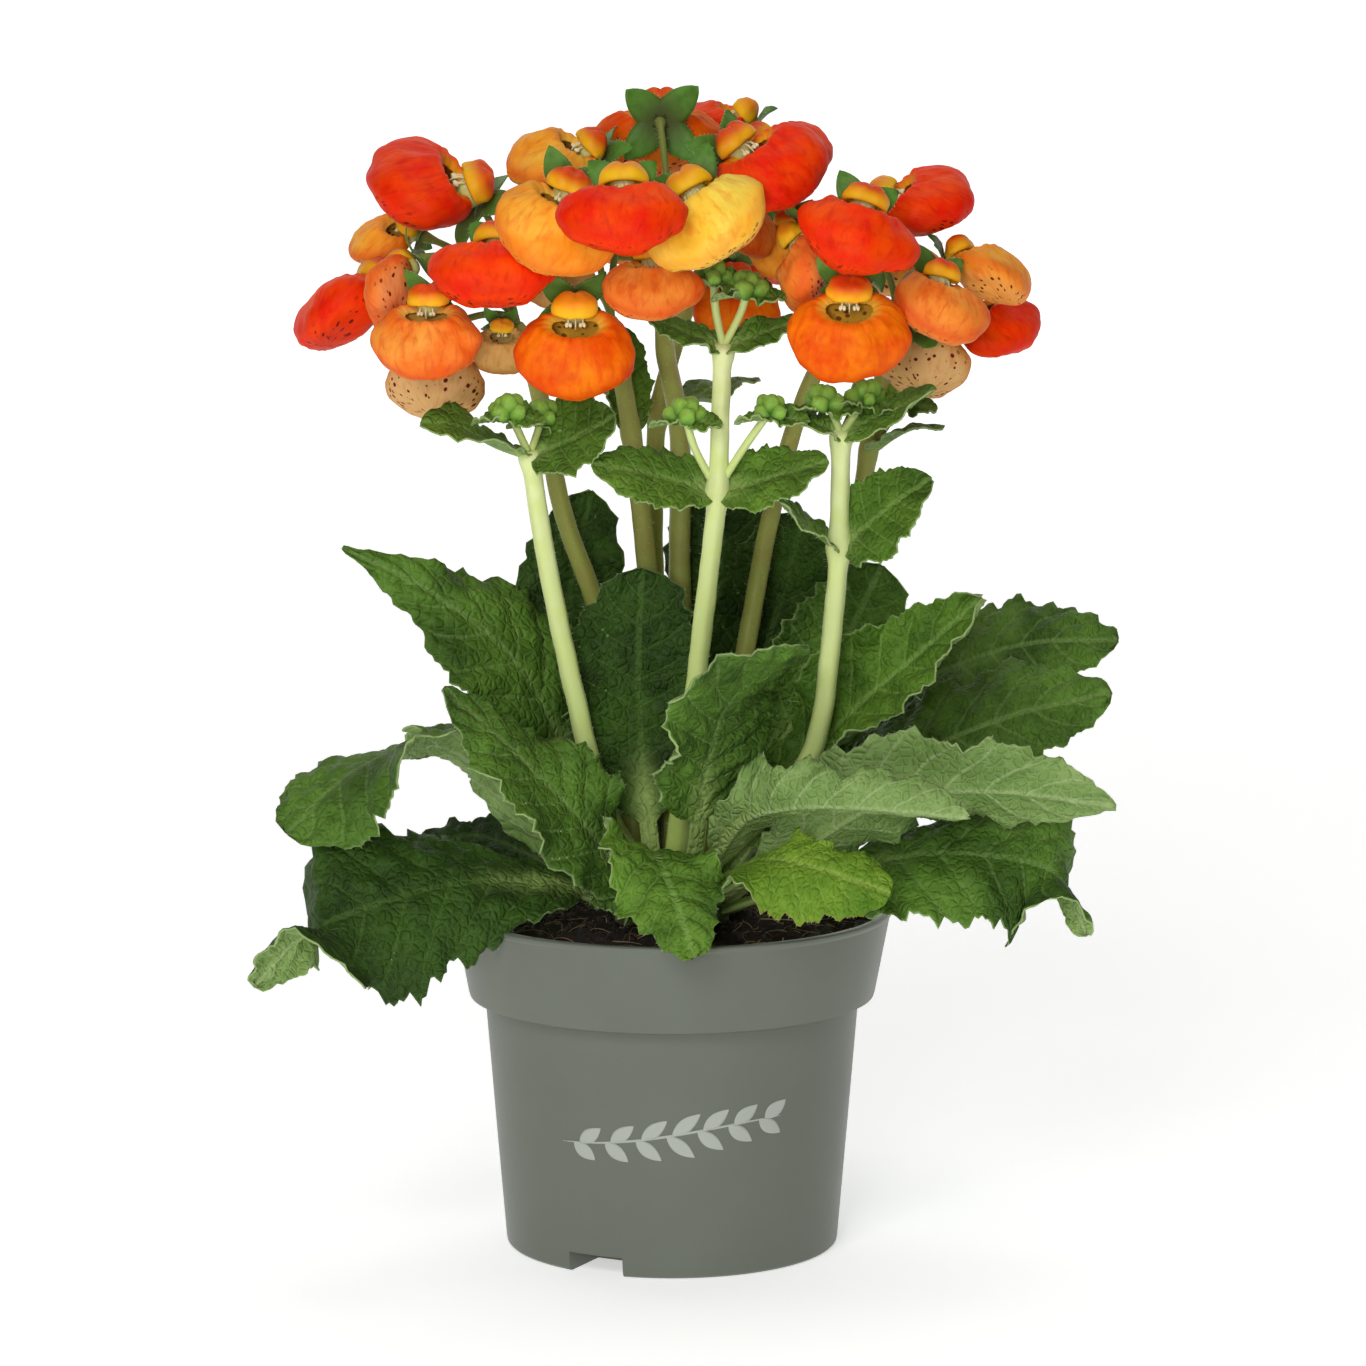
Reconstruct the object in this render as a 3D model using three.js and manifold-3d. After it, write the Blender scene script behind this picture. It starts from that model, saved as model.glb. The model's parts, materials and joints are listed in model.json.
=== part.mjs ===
// A pocketbook plant (Calceolaria) in a plastic nursery pot, in millimetres, +Z up.
// The origin is the centre of the pot's base, on the surface that the pot stands on; -Y is the front.
// Pieces: the pot, its peat, the crown with the leaves that are one with it, the large basal leaves,
// nine shoots (stem, stem leaves, buds, flower stalks and sepals) and the pouch flowers that they carry.
import * as THREE from "three";
import { mergeVertices } from "three/addons/utils/BufferGeometryUtils.js";
import Module from "manifold-3d";

const wasm = await Module();
wasm.setup();

// ---- driving dimensions ----
const GAP = 0.3; // what touching pieces keep between them
const POT = {
  height: 93,
  rimRadius: 60, // outer radius of the lip at the top
  bandFootRadius: 55.2, // outer radius of the stepped band at its lower edge
  bandHeight: 23,
  neckRadius: 50.8, // outer radius of the body just below the band
  footRadius: 45.2,
  wall: 1.2,
  sides: 32,
};
const DRAIN = {
  count: 2, // channels under the floor, each open at the foot of the wall
  firstDeg: -27,
  width: 16,
  height: 5.5,
  inner: 28, // radius of a channel's inner end
  shell: 1.2, // wall over a channel
  holeRadius: 3.5,
  holeInset: 7, // from a channel's inner end out to its hole
};
const SOIL = { edgeHeight: 86, bumps: 1.3, moundHeight: 2.6, rings: [50, 42, 34, 26, 19], sides: 20 };
const CROWN = {
  holeRadius: 12.3, // of the hole in the peat, which the root stub fills
  rootDepth: 70, // height of the stub's foot
  shoulderHeight: 88.5, // height at which the crown spreads over the peat
  shoulderRadius: 15.5,
  topRadius: 14,
  topHeight: 98,
  sides: 14,
};
const BLADE = 0.8; // thickness of a leaf blade
const PETIOLE = { halfWidth: 2.4, thickness: 3.2, share: 0.16 };
const STEM = { sides: 7, extraSteps: 3, rootHeight: 5 };
const STALK = { radius: 0.95, calyxRadius: 1.8, sides: 3, steps: 3, rootDepth: 1.5 };
const SEPAL = { count: 4, length: 9.5, notch: 4.2, thickness: 0.7, bend: 0.014 };
const CALYX_AHEAD = 0.2; // from a corolla's root forward to the middle of its calyx, which clears the hood
const CALYX_TILT = 25; // degrees by which the calyx looks up from the way that the pouch points
const POUCH = {
  halfWidth: 17,
  halfLength: 13.5,
  above: 7, // height of the upper face over the rim
  below: 9,
  centre: 14, // from the corolla's root to the pouch's middle
  throatDeg: 55, // how far the throat lies back from straight up
  notch: 3.5,
  toe: 2.5,
  dimple: 3,
  around: 10,
  rings: 5,
};
const HOOD = { radii: [6.4, 5.2, 5.5], place: [0, 3.2, 4.8], around: 6, rings: 3 };
const BUD = { radius: 2.7, count: 4, spread: 2.1, stalkRadius: 1.1, stalkSides: 4, stalkSteps: 2 };

const TAU = Math.PI * 2;
const rad = THREE.MathUtils.degToRad;
const lerp = THREE.MathUtils.lerp;
const V = (x, y, z) => new THREE.Vector3(x, y, z);
const Z = V(0, 0, 1);
const COLOUR = {
  pot: 0x7d8179,
  soil: 0x241a14,
  leaf: 0x3f6b2b,
  stem: 0x8fae58,
  red: 0xe02a08,
  orange: 0xee6a14,
  amber: 0xf2932e,
  yellow: 0xf6c238,
  salmon: 0xe0683a,
  cream: 0xd9ac6b,
};

// ---- from three.js geometry to manifold-3d solids and back ----
function solidOf(geometry) {
  const bare = geometry.index ? geometry.toNonIndexed() : geometry.clone();
  const plain = new THREE.BufferGeometry().setAttribute("position", bare.getAttribute("position"));
  const merged = mergeVertices(plain, 1e-4);
  const mesh = new wasm.Mesh({
    numProp: 3,
    vertProperties: merged.attributes.position.array,
    triVerts: new Uint32Array(merged.index.array),
  });
  mesh.merge();
  return new wasm.Manifold(mesh);
}

function geometryOf(solid) {
  const { vertProperties, triVerts } = solid.getMesh();
  const geometry = new THREE.BufferGeometry();
  geometry.setAttribute("position", new THREE.BufferAttribute(new Float32Array(vertProperties), 3));
  geometry.setIndex(new THREE.BufferAttribute(new Uint32Array(triVerts), 1));
  geometry.computeVertexNormals();
  return geometry;
}

const fuse = (geometries) =>
  geometries.map(solidOf).reduce((whole, next) => whole.add(next));

function moved(geometry, place) {
  const position = geometry.getAttribute("position");
  const point = new THREE.Vector3();
  for (let i = 0; i < position.count; i += 1) {
    point.fromBufferAttribute(position, i);
    const [x, y, z] = place(point).toArray();
    position.setXYZ(i, x, y, z);
  }
  return geometry;
}

// ---- shared forms ----
const spine = (points) => new THREE.CatmullRomCurve3(points, false, "catmullrom", 0.5);

// A round stalk along a curve: a capped cylinder bent onto it, its radius given by how far along it is.
function stalk(curve, radiusAt, sides, steps) {
  const frames = curve.computeFrenetFrames(steps, false);
  return moved(new THREE.CylinderGeometry(1, 1, 1, sides, steps), (p) => {
    const step = Math.round((p.y + 0.5) * steps);
    const radius = radiusAt(step / steps);
    return curve
      .getPointAt(step / steps)
      .addScaledVector(frames.binormals[step], p.x * radius)
      .addScaledVector(frames.normals[step], p.z * radius);
  });
}

// A thin blade with alike triangles on both faces: point(s, t) is its middle surface, s along and t across.
function blade(point, thicknessAt, along, across) {
  const columns = across + 1;
  const middle = [];
  for (let i = 0; i <= along; i += 1)
    for (let j = 0; j <= across; j += 1) middle.push(point(i / along, (2 * j) / across - 1));
  const at = (i, j) =>
    middle[THREE.MathUtils.clamp(i, 0, along) * columns + THREE.MathUtils.clamp(j, 0, across)];
  const positions = [];
  for (const side of [1, -1])
    for (let i = 0; i <= along; i += 1)
      for (let j = 0; j <= across; j += 1) {
        const down = at(i + 1, j).clone().sub(at(i - 1, j));
        const over = at(i, j + 1).clone().sub(at(i, j - 1));
        const normal = down.cross(over).normalize();
        const offset = (side * thicknessAt(i / along, (2 * j) / across - 1)) / 2;
        positions.push(...at(i, j).clone().addScaledVector(normal, offset).toArray());
      }
  const under = columns * (along + 1);
  const index = [];
  const quad = (a, b, c, d) => index.push(a, b, c, a, c, d);
  for (let i = 0; i < along; i += 1)
    for (let j = 0; j < across; j += 1) {
      const a = i * columns + j;
      quad(a, a + columns, a + columns + 1, a + 1);
      index.push(under + a, under + a + columns + 1, under + a + columns);
      index.push(under + a, under + a + 1, under + a + columns + 1);
    }
  for (let i = 0; i < along; i += 1) {
    const left = i * columns;
    const right = left + across;
    quad(left, under + left, under + left + columns, left + columns);
    quad(right + columns, under + right + columns, under + right, right);
  }
  for (let j = 0; j < across; j += 1) {
    const last = along * columns + j;
    quad(j + 1, under + j + 1, under + j, j);
    quad(last, under + last, under + last + 1, last + 1);
  }
  const geometry = new THREE.BufferGeometry();
  geometry.setAttribute("position", new THREE.Float32BufferAttribute(positions, 3));
  geometry.setIndex(index);
  return geometry;
}

// ---- leaves ----
// path: the midrib; width: half the blade's width; roll: degrees that the blade turns about the midrib
// at its base and tip (positive lifts the side on the left of the way it grows); cup: radians that each
// half bends, positive up; ruffle: height of the waved edge in mm; waves: waves along one edge.
function leafSurface(leaf) {
  const curve = spine(leaf.path.map((p) => V(...p)));
  const first = curve.points[0];
  const last = curve.points[curve.points.length - 1];
  const heading = leaf.heading ? V(...leaf.heading, 0) : V(last.x - first.x, last.y - first.y, 0);
  const left = Z.clone().cross(heading.normalize());
  return (s, t) => {
    const centre = curve.getPoint(s);
    const along = curve.getTangent(s);
    const across = left.clone().addScaledVector(along, -left.dot(along)).normalize();
    const up = along.clone().cross(across);
    const roll = rad(lerp(leaf.roll[0], leaf.roll[1], s));
    const side = across.clone().multiplyScalar(Math.cos(roll)).addScaledVector(up, Math.sin(roll));
    const face = up.multiplyScalar(Math.cos(roll)).addScaledVector(across, -Math.sin(roll));
    const u = Math.max(0, (s - leaf.petiole) / (1 - leaf.petiole));
    const outline = 1.95 * u ** 0.6 * (1 - u) ** 0.5;
    const tooth = Math.abs(t) > 0.9 ? 0.12 * Math.cos(Math.PI * s * leaf.steps) : 0;
    const stem = PETIOLE.halfWidth * (1 - 0.8 * u);
    const half = stem + (leaf.width - stem) * Math.max(0, outline) * (1 + tooth);
    const bend = lerp(leaf.cup[0], leaf.cup[1], s) * Math.min(1, u * 4);
    const turn = bend * t;
    const reach = Math.abs(bend) < 1e-3 ? t * half : (half * Math.sin(turn)) / bend;
    const lift = Math.abs(bend) < 1e-3 ? 0 : (half * (1 - Math.cos(turn))) / bend;
    const phase = TAU * leaf.waves * s + (t < 0 ? 2 : 0);
    const ruffle = leaf.ruffle * t * t * Math.min(1, u * 3) * (1 - u * u) * Math.sin(phase);
    return centre.addScaledVector(side, reach).addScaledVector(face, lift + ruffle);
  };
}

// A thick petiole that thins into the blade, and is thickest along its middle.
const leafThickness = (petiole) => (s, t) => {
  const root = Math.max(0, 1 - s / (petiole * 1.8));
  return BLADE + (PETIOLE.thickness - BLADE) * Math.sqrt(root) * (1 - 0.65 * t * t);
};

const LEAF_FORM = { steps: 9, columns: 4, waves: 2, ruffle: 2.5, petiole: PETIOLE.share };
const CROWN_LEAF_FORM = { ...LEAF_FORM, steps: 6 };
const STEM_LEAF_FORM = { steps: 5, columns: 2, waves: 1, ruffle: 1, petiole: 0.02 };

function leafGeometry(form, leaf) {
  const spec = { ...form, ...leaf };
  return blade(leafSurface(spec), leafThickness(spec.petiole), spec.steps, spec.columns);
}

// The large basal leaves, each a piece of its own.
const BASAL_LEAVES = {
  leaf_left_low: {
    path: [
      [-10, -5.5, 91], [-30, -21, 102], [-54, -36, 106], [-78, -46, 102], [-98, -51, 94], [-110, -52, 81],
    ],
    width: 22, roll: [-20, -60], cup: [-0.5, -0.7],
  },
  leaf_left_mid: {
    path: [[-10, -2, 91], [-30, -10, 111], [-59, -22, 140], [-83, -30, 136], [-102, -36, 119]],
    width: 22, roll: [35, -30], cup: [0.5, -0.5],
  },
  leaf_left_high: {
    path: [[-10, 2, 93], [-18, 5, 103], [-27, 6, 128], [-41, 2, 158], [-63, -4, 178], [-88, -10, 192]],
    width: 19.5, roll: [-35, -60], cup: [-0.2, -0.4], petiole: 0.3,
  },
  leaf_front_up: {
    path: [[1, -11, 94], [6, -30, 112], [9, -41, 138], [17, -47, 158], [36, -49, 171]],
    width: 21, roll: [160, 190], cup: [0.3, -0.2], petiole: 0.36,
  },
  leaf_right_narrow: {
    path: [[10, -5, 95], [27, -13, 122], [45, -18, 146], [64, -23, 164], [82, -28, 181]],
    width: 17, roll: [50, 60], cup: [0.6, 0.5],
  },
  leaf_right_high: {
    path: [[11.8, 5, 90.5], [35, 20, 118], [58, 20, 145], [80, 18, 157], [100, 14, 163], [121, 9, 164]],
    width: 19, roll: [0, 20], cup: [-0.2, -0.4], petiole: 0.25,
  },
  leaf_right_mid: {
    path: [[11, -0.2, 90.8], [38, -3.5, 113.5], [62, -6, 133], [90, -9, 146], [118, -11, 153]],
    width: 17.5, roll: [15, 45], cup: [-0.3, -0.5],
  },
  leaf_right_front: {
    path: [[9, -7, 93], [34, -28, 113.5], [58, -38, 129], [86, -43, 132], [117, -44, 128]],
    width: 21, roll: [-30, -60], cup: [0.5, 0.3],
  },
  leaf_right_low: {
    path: [
      [10.5, -3, 90.6], [40, -21, 104.5], [66, -33, 112], [90, -39, 110], [103, -42, 102], [109, -43, 90],
    ],
    width: 20, roll: [0, 40], cup: [-0.4, -0.6],
  },
  leaf_front_rolled: {
    path: [[6, -10, 95], [17, -37, 121], [30, -54, 129.5], [51, -62, 131], [77, -66, 129]],
    width: 12, roll: [-30, -50], cup: [0.8, 0.8],
  },
  leaf_front_bright: {
    path: [[5.5, -10, 91], [13, -37, 107], [24, -56, 116], [39, -65, 115], [57, -68, 109]],
    width: 15, roll: [10, 40], cup: [-0.3, -0.5],
  },
  leaf_front_centre: {
    path: [[-1.5, -11, 90.8], [-5, -36, 112], [-4, -54, 117], [1, -66, 107], [6, -72, 93]],
    width: 15, roll: [0, 10], cup: [0.3, -0.5],
  },
  leaf_back_left: {
    path: [[-5, 9, 92], [-30, 36, 122], [-54, 60, 132], [-72, 82, 120]],
    width: 26, roll: [0, 10], cup: [0.1, -0.5],
  },
  leaf_back_right: {
    path: [[9.2, 9.4, 90.6], [37, 41, 119], [61, 60, 132], [82, 80, 121]],
    width: 26, roll: [0, -10], cup: [0.1, -0.5],
  },
};

// Leaves that are one with the crown: the small ones low in the rosette and the upright ones among the stems.
const ACROSS_X = [0, 1]; // the way that an upright leaf's back faces, so that its blade lies across X
const CROWN_LEAVES = [
  {
    path: [[-8, -10, 92], [-14, -21, 98], [-17, -28, 101], [-20, -34, 99]],
    width: 6, roll: [-10, -20], cup: [-0.3, -0.4],
  },
  {
    path: [[-12, 0, 90], [-36, 3, 105], [-55, 7, 111], [-72, 10, 105]],
    width: 18, roll: [-15, -25], cup: [-0.3, -0.5],
  },
  {
    path: [[-10, -8, 93], [-19, -34, 116], [-38, -43, 139], [-60, -41, 159]],
    width: 14, roll: [-60, -60], cup: [0.3, -0.2],
  },
  {
    path: [[-4, -12, 92], [-5.5, -15.5, 110], [-8, -9.5, 135], [-9, -8, 160], [-8, -7, 186]],
    width: 20, roll: [0, 0], cup: [0.3, 0.2], heading: ACROSS_X, petiole: 0.35,
  },
  {
    path: [[5, 11, 91], [7, 16.5, 101], [12, 25, 130], [13, 28, 175], [14, 26, 207]],
    width: 14.7, roll: [0, 0], cup: [0.3, 0.2], heading: ACROSS_X, petiole: 0.3,
  },
  {
    path: [[6, 11, 92], [9, 18, 103], [18, 25.5, 135], [29, 27, 170], [36, 25, 197]],
    width: 14.5, roll: [0, 0], cup: [0.3, 0.2], heading: ACROSS_X, petiole: 0.3,
  },
  {
    path: [[13.2, 3, 94], [26, 8.5, 128], [44, 12, 158], [57, 13, 184]],
    width: 17, roll: [0, 0], cup: [0.3, 0.2], heading: ACROSS_X, petiole: 0.3,
  },
  {
    path: [[-10, 8, 93], [-19, 14, 115], [-25, 19, 138], [-28, 20, 172], [-22, 17, 204]],
    width: 13.5, roll: [0, 0], cup: [0.3, 0.2], heading: ACROSS_X, petiole: 0.3,
  },
  {
    path: [[0, 12, 92], [3, 42, 120], [4, 74, 127], [4, 100, 112]],
    width: 24, roll: [0, 0], cup: [0.1, -0.5],
  },
];

// ---- flowers ----
// centre: the middle of the pouch; turn: the way it points, in degrees from the front (-Y) towards +X;
// droop: degrees below the horizontal; roll: degrees about the way it points; size: 1 is a pouch 34 mm wide.
const BLOOMS = {
  left: {
    bloom_01: { centre: [-65, -5, 288], turn: -80, droop: -22, roll: -25, size: 1.08, tone: "red" },
    bloom_02: { centre: [-85, -5, 256], turn: -70, droop: 15, roll: 20, size: 0.98, tone: "red" },
    bloom_03: { centre: [-77, 16, 272], turn: -110, droop: 5, roll: -20, size: 0.75, tone: "amber" },
    bloom_04: { centre: [-64, -42, 251], turn: -10, droop: 45, roll: 0, size: 0.86, tone: "salmon" },
    bloom_05: { centre: [-72, -27, 261], turn: -60, droop: 50, roll: 60, size: 0.78, tone: "salmon" },
    bloom_06: { centre: [-63, -16, 237], turn: 170, droop: 60, roll: 0, size: 0.8, tone: "cream" },
    bloom_07: { centre: [-45, -18, 246], turn: 10, droop: 70, roll: 0, size: 0.5, tone: "cream" },
    bloom_08: { centre: [-46, -48, 269], turn: -5, droop: 12, roll: 0, size: 1.0, tone: "red" },
  },
  mid_left: {
    bloom_09: { centre: [-25, -46, 248], turn: 5, droop: 62, roll: 0, size: 0.95, tone: "orange" },
    bloom_10: { centre: [-30, -56, 281], turn: -15, droop: 40, roll: -28, size: 0.98, tone: "amber" },
    bloom_11: { centre: [-31, -15, 295], turn: -75, droop: 0, roll: -18, size: 0.9, tone: "amber" },
    bloom_14: { centre: [-5, -50, 265], turn: 0, droop: 30, roll: 0, size: 0.78, tone: "salmon" },
    bloom_15: { centre: [-31, -20, 265.5], turn: -10, droop: 60, roll: 0, size: 0.62, tone: "cream" },
  },
  centre: {
    bloom_12: { centre: [-12, -78, 286], turn: 0, droop: 15, roll: 2, size: 1.0, tone: "red" },
    bloom_13: { centre: [9, -62, 283], turn: 10, droop: 25, roll: 35, size: 1.0, tone: "yellow" },
    bloom_16: { centre: [26, -40, 295], turn: 50, droop: 10, roll: 28, size: 1.0, tone: "red" },
    bloom_17: { centre: [31.5, -10, 297], turn: 70, droop: 0, roll: 20, size: 0.8, tone: "red" },
    bloom_18: { centre: [11, 30, 302], turn: -100, droop: -5, roll: 0, size: 0.8, tone: "red" },
    bloom_19: { centre: [-3, 8, 299], turn: 180, droop: 20, roll: 0, size: 1.08, tone: "orange" },
    bloom_20: { centre: [20, -22, 278], turn: 60, droop: 50, roll: 0, size: 0.6, tone: "salmon" },
    bloom_29: { centre: [17, 5, 254.5], turn: 20, droop: 60, roll: 0, size: 0.75, tone: "orange" },
  },
  right: {
    bloom_21: { centre: [35, -34, 267.5], turn: -30, droop: 75, roll: 60, size: 0.85, tone: "salmon" },
    bloom_22: { centre: [47.5, -60, 279.5], turn: -5, droop: 20, roll: -20, size: 0.95, tone: "red" },
    bloom_23: { centre: [46, -50, 253], turn: 0, droop: 68, roll: 0, size: 0.95, tone: "orange" },
    bloom_31: { centre: [30.5, -11, 271.5], turn: -20, droop: 50, roll: 0, size: 0.65, tone: "amber" },
  },
  far_right: {
    bloom_24: { centre: [67.5, -4, 283.5], turn: 70, droop: -15, roll: 20, size: 0.94, tone: "red" },
    bloom_25: { centre: [84, -13, 265], turn: 75, droop: 10, roll: -18, size: 0.86, tone: "amber" },
    bloom_26: { centre: [70, -40, 259], turn: 10, droop: 30, roll: -20, size: 0.82, tone: "salmon" },
    bloom_27: { centre: [87, 1, 250], turn: 60, droop: 10, roll: 20, size: 0.8, tone: "red" },
    bloom_28: { centre: [67, -7, 241.5], turn: 160, droop: 60, roll: 0, size: 0.76, tone: "cream" },
  },
  back: {
    bloom_30: { centre: [-48, 38, 262], turn: -150, droop: 20, roll: 0, size: 0.9, tone: "red" },
    bloom_32: { centre: [-12, 62, 270], turn: 175, droop: 15, roll: 0, size: 0.95, tone: "orange" },
    bloom_33: { centre: [28, 54, 266], turn: 160, droop: 20, roll: 0, size: 0.95, tone: "red" },
    bloom_34: { centre: [62, 34, 262], turn: 130, droop: 15, roll: 0, size: 0.9, tone: "amber" },
  },
};

// A bloom's axes: x to its side, y the way that the pouch points and z out of the pouch's upper face.
function bloomFrame(bloom) {
  const [turn, droop, roll] = [bloom.turn, bloom.droop, bloom.roll].map(rad);
  const forward = V(Math.sin(turn) * Math.cos(droop), -Math.cos(turn) * Math.cos(droop), -Math.sin(droop));
  const upright = V(Math.sin(turn) * Math.sin(droop), -Math.cos(turn) * Math.sin(droop), Math.cos(droop));
  const up = upright.applyAxisAngle(forward, roll);
  const side = forward.clone().cross(up);
  const frame = new THREE.Matrix4().makeBasis(side, forward, up).scale(V(1, 1, 1).multiplyScalar(bloom.size));
  const middle = V(0, POUCH.centre, -1).applyMatrix4(frame);
  return frame.setPosition(V(...bloom.centre).sub(middle));
}

// The pouch: a ball with its pole at the throat, flattened, notched at its root, toed down and dimpled.
function pouchPoint(ball) {
  const tilt = rad(POUCH.throatDeg);
  const a = ball.x;
  const b = -ball.y * Math.cos(tilt) - ball.z * Math.sin(tilt);
  const c = ball.y * Math.sin(tilt) - ball.z * Math.cos(tilt);
  const back = Math.max(0, -b);
  const notch = POUCH.notch * back * Math.exp(-((a / 0.42) ** 2));
  const dimple = c > 0 ? POUCH.dimple * Math.exp(-((a / 0.32) ** 2) - ((b + 0.45) / 0.3) ** 2) : 0;
  const toe = POUCH.toe * Math.max(0, b) ** 2;
  return V(
    POUCH.halfWidth * a * (1 - 0.12 * back),
    POUCH.centre + POUCH.halfLength * b + notch,
    (c > 0 ? POUCH.above : POUCH.below) * c * (1 - 0.25 * back) - toe - dimple,
  );
}

function bloomSolid(bloom) {
  const pouch = moved(new THREE.SphereGeometry(1, POUCH.around, POUCH.rings), pouchPoint);
  const hood = new THREE.SphereGeometry(1, HOOD.around, HOOD.rings);
  hood.scale(...HOOD.radii).translate(...HOOD.place);
  return fuse([pouch, hood].map((g) => g.applyMatrix4(bloomFrame(bloom))));
}

// Where a flower stalk ends, just behind the corolla, and the way that it looks there.
function calyxOf(bloom) {
  const frame = bloomFrame(bloom);
  const tilt = rad(CALYX_TILT);
  const look = V(0, Math.cos(tilt), Math.sin(tilt)).transformDirection(frame);
  const seat = V(0, CALYX_AHEAD, 0).applyMatrix4(frame).addScaledVector(look, -SEPAL.thickness / 2);
  return { frame, look, seat };
}

// Four pointed sepals in a cross behind the corolla, joined at their roots and bent back at their tips.
function calyx(bloom) {
  const { frame } = calyxOf(bloom);
  const outline = Array.from({ length: SEPAL.count * 2 }, (_, k) => {
    const angle = (TAU * k) / (SEPAL.count * 2);
    const radius = k % 2 ? SEPAL.length : SEPAL.notch;
    return new THREE.Vector2(radius * Math.cos(angle), radius * Math.sin(angle));
  });
  const extrusion = { depth: SEPAL.thickness, bevelEnabled: false };
  const star = new THREE.ExtrudeGeometry(new THREE.Shape(outline), extrusion);
  return moved(star, (p) => V(p.x, p.y, p.z - SEPAL.thickness - SEPAL.bend * (p.x ** 2 + p.y ** 2)))
    .rotateX(rad(CALYX_TILT - 90))
    .translate(0, CALYX_AHEAD, 0)
    .applyMatrix4(frame);
}

function flowerStalk(from, leaving, bloom) {
  const { look, seat } = calyxOf(bloom);
  const span = from.distanceTo(seat);
  const knee = from.clone().addScaledVector(leaving, span * 0.4);
  const neck = seat.clone().addScaledVector(look, -span * 0.28);
  const radiusAt = (s) => (s > 0.99 ? STALK.calyxRadius : STALK.radius);
  const bent = new THREE.CubicBezierCurve3(from, knee, neck, seat);
  return stalk(bent, radiusAt, STALK.sides, STALK.steps);
}

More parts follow.
